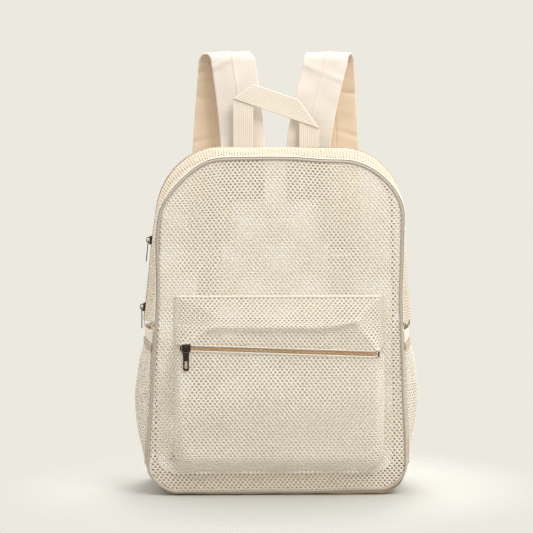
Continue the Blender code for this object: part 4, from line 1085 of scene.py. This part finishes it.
def build_strap_ends(side, sign):
    """The anchor on the back panel, the lower tab, the lock tab and the adjuster webbing."""
    strap = material("plain-woven polyester tab")
    low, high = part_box(f"{side}_strap_anchor")
    width = sizes().strap_width - MM
    b = np.linspace(-width / 2, width / 2, 25)
    z = np.linspace(low.z, high.z + 2.6 * MM, 30)
    grid = np.stack(np.broadcast_arrays(sign * STRAP_X + b[None, :], (low.y + high.y) / 2 + 0 * b[None, :],
                                        z[:, None]), axis=-1)
    piece = slab(f"{side}_anchor_cloth", grid, 2.0 * MM, edge=0.8 * MM)
    finish_piece(piece, strap, [f"{side}_strap_anchor"])
    low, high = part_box(f"{side}_adjuster_webbing")
    end_x, end_y, end_z = STRAP_END
    thickness = sizes().webbing_thickness
    loop_y = (LOCK_HIGH.y - LOCK_LOW.y) / 2 + thickness / 2 + 0.45 * MM
    bar_z = LOCK_LOW.z + 8.5 * MM
    anchor_x, anchor_y, anchor_z = LOWER_ANCHOR
    t = np.linspace(0, 1, 12)
    route = np.array([(end_x, end_y + loop_y + 4 * MM, low.z + 158 * MM), (end_x, end_y + loop_y + MM, low.z + 188 * MM),
                      (end_x, end_y + loop_y, bar_z - MM), (end_x, end_y + loop_y * 0.5, bar_z + 1.2 * MM),
                      (end_x, end_y - loop_y * 0.5, bar_z + 1.2 * MM), (end_x, end_y - loop_y, bar_z - MM),
                      (end_x, end_y - loop_y, LOCK_LOW.z - 4 * MM)])
    run = np.stack([end_x + (anchor_x - end_x) * t[1:],
                    end_y - loop_y + (anchor_y - end_y + loop_y) * t[1:] ,
                    LOCK_LOW.z - 4 * MM + (anchor_z - LOCK_LOW.z + 4 * MM) * t[1:]], axis=-1)
    line = np.concatenate([route, run])
    far = np.concatenate([[0], np.cumsum(np.linalg.norm(np.diff(line, axis=0), axis=-1))])
    s = np.linspace(0, far[-1], 200)
    line = np.stack([np.interp(s, far, line[:, k]) for k in range(3)], axis=-1) * (sign, 1, 1)
    b = np.linspace(-WEBBING / 2, WEBBING / 2, 30)
    grid = line[:, None] + b[None, :, None] * np.array([1.0, 0, 0])
    piece = slab(f"{side}_adjuster_cloth", grid[:, ::-1], thickness, edge=0.5 * MM)
    finish_piece(piece, material("woven polyester webbing"), [f"{side}_adjuster_webbing"], body=None)
    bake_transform(piece)
    tab_z = LOCK_HIGH.z - 5.8 * MM
    route = np.array([(-loop_y, end_z + MM), (-loop_y, tab_z + 1.5 * MM), (-loop_y * 0.5, tab_z),
                      (loop_y * 0.5, tab_z), (loop_y, tab_z + 1.5 * MM), (loop_y, end_z + MM)])
    far = np.concatenate([[0], np.cumsum(np.hypot(*np.diff(route, axis=0).T))])
    s = np.linspace(0, far[-1], 40)
    y, z = (np.interp(s, far, route[:, k]) for k in (0, 1))
    grid = np.stack(np.broadcast_arrays(sign * end_x + b[None, :], end_y + y[:, None], z[:, None]), axis=-1)
    piece = slab(f"{side}_lock_tab_cloth", grid, thickness * 0.8, edge=0.4 * MM)
    finish_piece(piece, material("woven polyester webbing"), [f"{side}_lock_tab"],
                 body=f"{side}_strap")
    corners = np.array([(anchor_x - 14 * MM, anchor_z - 1.8 * MM), (anchor_x + 14 * MM, anchor_z - 1.8 * MM),
                        (anchor_x + 4 * MM, 14 * MM), (anchor_x + 40 * MM, 22 * MM)])
    p, q = np.meshgrid(np.linspace(0, 1, 20), np.linspace(0, 1, 24))
    flat = ((1 - q)[..., None] * ((1 - p)[..., None] * corners[0] + p[..., None] * corners[1])
            + q[..., None] * ((1 - p)[..., None] * corners[2] + p[..., None] * corners[3]))
    low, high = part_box(f"{side}_lower_tab")
    grid = np.stack([sign * flat[..., 0], (low.y + high.y) / 2 + 0 * p, flat[..., 1]], axis=-1)
    piece = slab(f"{side}_lower_tab_cloth", grid if sign < 0 else grid[:, ::-1], 2.2 * MM, edge=0.8 * MM)
    finish_piece(piece, strap, [f"{side}_lower_tab"])


# ---------------------------------------------------------------- metal and plastic from the frame

def dress_hardware():
    """Gunmetal on the sliders, pulls and stops, acetal on the ladder locks."""
    for name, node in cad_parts.items():
        kind = None
        if "slider" in name or "pull" in name or "stop" in name:
            kind = "gunmetal-plated zinc"
        elif "ladder_lock" in name:
            kind = "moulded acetal"
        if kind:
            node.data.materials.clear()
            node.data.materials.append(material(kind))


# ---------------------------------------------------------------- stage

def build_stage():
    """A pale floor that fades into an even backdrop, soft light from the upper right, and the camera."""
    scene = bpy.context.scene
    scene.view_settings.view_transform = "Standard"
    pale = linear("ece9e0")
    world = bpy.data.worlds.new("studio")
    scene.world = world
    world.use_nodes = True
    tree = world.node_tree
    tree.nodes.clear()
    seen = add(tree, "Background", {"Color": (*pale, 1.0), "Strength": 1.0})
    way = add(tree, "VectorMath", {1: (0.30, 0.45, 0.84)}, {0: add(tree, "TexCoord").outputs["Generated"]},
              operation="DOT_PRODUCT").outputs["Value"]
    level = add(tree, "MapRange", {"From Min": -1.0, "From Max": 1.0, "To Min": 0.50, "To Max": 1.92},
                {"Value": way}).outputs["Result"]
    fill = add(tree, "Background", {"Color": (0.92, 0.905, 0.88, 1.0)}, {"Strength": level})
    path = add(tree, "LightPath")
    mix = add(tree, "MixShader", links={0: path.outputs["Is Camera Ray"], 1: fill.outputs[0], 2: seen.outputs[0]})
    add(tree, "OutputWorld", links={"Surface": mix.outputs[0]})
    rings = np.linspace(0.001, 2.2, 30)
    angle = np.linspace(0, 2 * math.pi, 48, endpoint=False)
    points = np.stack(np.broadcast_arrays(rings[:, None] * np.cos(angle), rings[:, None] * np.sin(angle),
                                          -0.0004), axis=-1)
    floor = new_mesh("studio_floor", points, grid_faces(len(rings), len(angle), wrap_cols=True)[:, ::-1])
    made, tree, shader = new_material("matt painted floor", 0.9)
    shader.inputs["Specular IOR Level"].default_value = 0.1
    shader.inputs["Base Color"].default_value = (0.465, 0.462, 0.437, 1.0)
    place = add(tree, "TexCoord").outputs["Object"]
    far = add(tree, "VectorMath", links={0: place}, operation="LENGTH").outputs["Value"]
    fade = add(tree, "MapRange", {"From Min": 0.17, "From Max": 0.36}, {"Value": far},
               interpolation_type="SMOOTHSTEP").outputs["Result"]
    clear = add(tree, "BsdfTransparent")
    mix = add(tree, "MixShader", links={0: fade, 1: shader.outputs[0], 2: clear.outputs[0]})
    tree.links.new(mix.outputs[0], tree.nodes["Material Output"].inputs["Surface"])
    floor.data.materials.append(made)
    for name, place, power, size in (("key", (1.1, -1.6, 2.4), 42.0, 1.3), ("rim", (0.2, 1.2, 2.3), 34.0, 0.9)):
        lamp = bpy.data.lights.new(name, "AREA")
        lamp.energy = power
        lamp.size = size
        lamp.color = (1.0, 0.985, 0.955)
        obj = bpy.data.objects.new(name, lamp)
        obj.location = place
        obj.rotation_euler = (Vector((0, 0, 0.25)) - Vector(place)).to_track_quat("-Z", "Y").to_euler()
        obj.visible_camera = False
        scene.collection.objects.link(obj)
    camera = bpy.data.cameras.new("camera")
    camera.lens = 135.6
    camera.sensor_width = 36.0
    obj = bpy.data.objects.new("camera", camera)
    obj.location = (-0.078, -2.460, 0.421)
    aim = Vector((-0.015, -0.065, 0.2754))
    obj.rotation_euler = (aim - obj.location).to_track_quat("-Z", "Y").to_euler()
    scene.collection.objects.link(obj)
    scene.camera = obj


# ---------------------------------------------------------------- operators, panel and the run

class BACKPACK_OT_stage(Operator):
    """Adds the floor, the lights and the camera"""
    bl_idname = "backpack.stage"
    bl_label = "Stage"

    def execute(self, context):
        build_stage()
        return {"FINISHED"}


class BACKPACK_OT_panels(Operator):
    """Adds the front, back and side nets and the base"""
    bl_idname = "backpack.panels"
    bl_label = "Panels"

    def execute(self, context):
        build_main_panels()
        build_base()
        build_side_panels()
        return {"FINISHED"}


class BACKPACK_OT_gusset(Operator):
    """Adds the nets of the arched gusset"""
    bl_idname = "backpack.gusset"
    bl_label = "Gusset"

    def execute(self, context):
        build_gusset()
        return {"FINISHED"}


class BACKPACK_OT_piping(Operator):
    """Adds the piping round both panels"""
    bl_idname = "backpack.piping"
    bl_label = "Piping"

    def execute(self, context):
        build_piping()
        return {"FINISHED"}


class BACKPACK_OT_main_zip(Operator):
    """Adds the tapes and coils of the main zip"""
    bl_idname = "backpack.main_zip"
    bl_label = "Main zip"

    def execute(self, context):
        build_main_zip()
        return {"FINISHED"}


class BACKPACK_OT_front_pocket(Operator):
    """Adds the front pocket and its zip"""
    bl_idname = "backpack.front_pocket"
    bl_label = "Front pocket"

    def execute(self, context):
        build_front_pocket()
        build_pocket_zip()
        return {"FINISHED"}


class BACKPACK_OT_side_pockets(Operator):
    """Adds the two open side pockets"""
    bl_idname = "backpack.side_pockets"
    bl_label = "Side pockets"

    def execute(self, context):
        build_side_pockets()
        return {"FINISHED"}


class BACKPACK_OT_handle(Operator):
    """Adds the folded grab handle"""
    bl_idname = "backpack.handle"
    bl_label = "Grab handle"

    def execute(self, context):
        build_handle()
        return {"FINISHED"}


class BACKPACK_OT_straps(Operator):
    """Adds the straps, anchors, tabs and webbing"""
    bl_idname = "backpack.straps"
    bl_label = "Shoulder straps"

    def execute(self, context):
        build_straps()
        return {"FINISHED"}


class BACKPACK_OT_hardware(Operator):
    """Gives the sliders, pulls and locks their finish"""
    bl_idname = "backpack.hardware"
    bl_label = "Hardware"

    def execute(self, context):
        dress_hardware()
        return {"FINISHED"}


STEPS = (
    BACKPACK_OT_stage,
    BACKPACK_OT_panels,
    BACKPACK_OT_gusset,
    BACKPACK_OT_piping,
    BACKPACK_OT_main_zip,
    BACKPACK_OT_front_pocket,
    BACKPACK_OT_side_pockets,
    BACKPACK_OT_handle,
    BACKPACK_OT_straps,
    BACKPACK_OT_hardware,
)


class BACKPACK_PT_sidebar(Panel):
    bl_label = "Mesh Backpack"
    bl_idname = "BACKPACK_PT_sidebar"
    bl_space_type = "VIEW_3D"
    bl_region_type = "UI"
    bl_category = "Backpack"

    def draw(self, context):
        for group in (context.scene.backpack_sizes, context.scene.backpack_colours):
            column = self.layout.column(align=True)
            for name in group.__annotations__:
                column.prop(group, name)
        for step in STEPS:
            self.layout.operator(step.bl_idname)


def register():
    for kind in (BackpackSizes, BackpackColours, *STEPS, BACKPACK_PT_sidebar):
        bpy.utils.register_class(kind)
    bpy.types.Scene.backpack_sizes = PointerProperty(type=BackpackSizes)
    bpy.types.Scene.backpack_colours = PointerProperty(type=BackpackColours)


def unregister():
    del bpy.types.Scene.backpack_colours
    del bpy.types.Scene.backpack_sizes
    for kind in (BACKPACK_PT_sidebar, *reversed(STEPS), BackpackColours, BackpackSizes):
        bpy.utils.unregister_class(kind)


def main():
    register()
    for step in STEPS:
        group, name = step.bl_idname.split(".")
        getattr(getattr(bpy.ops, group), name)()


if __name__ == "__main__":
    main()
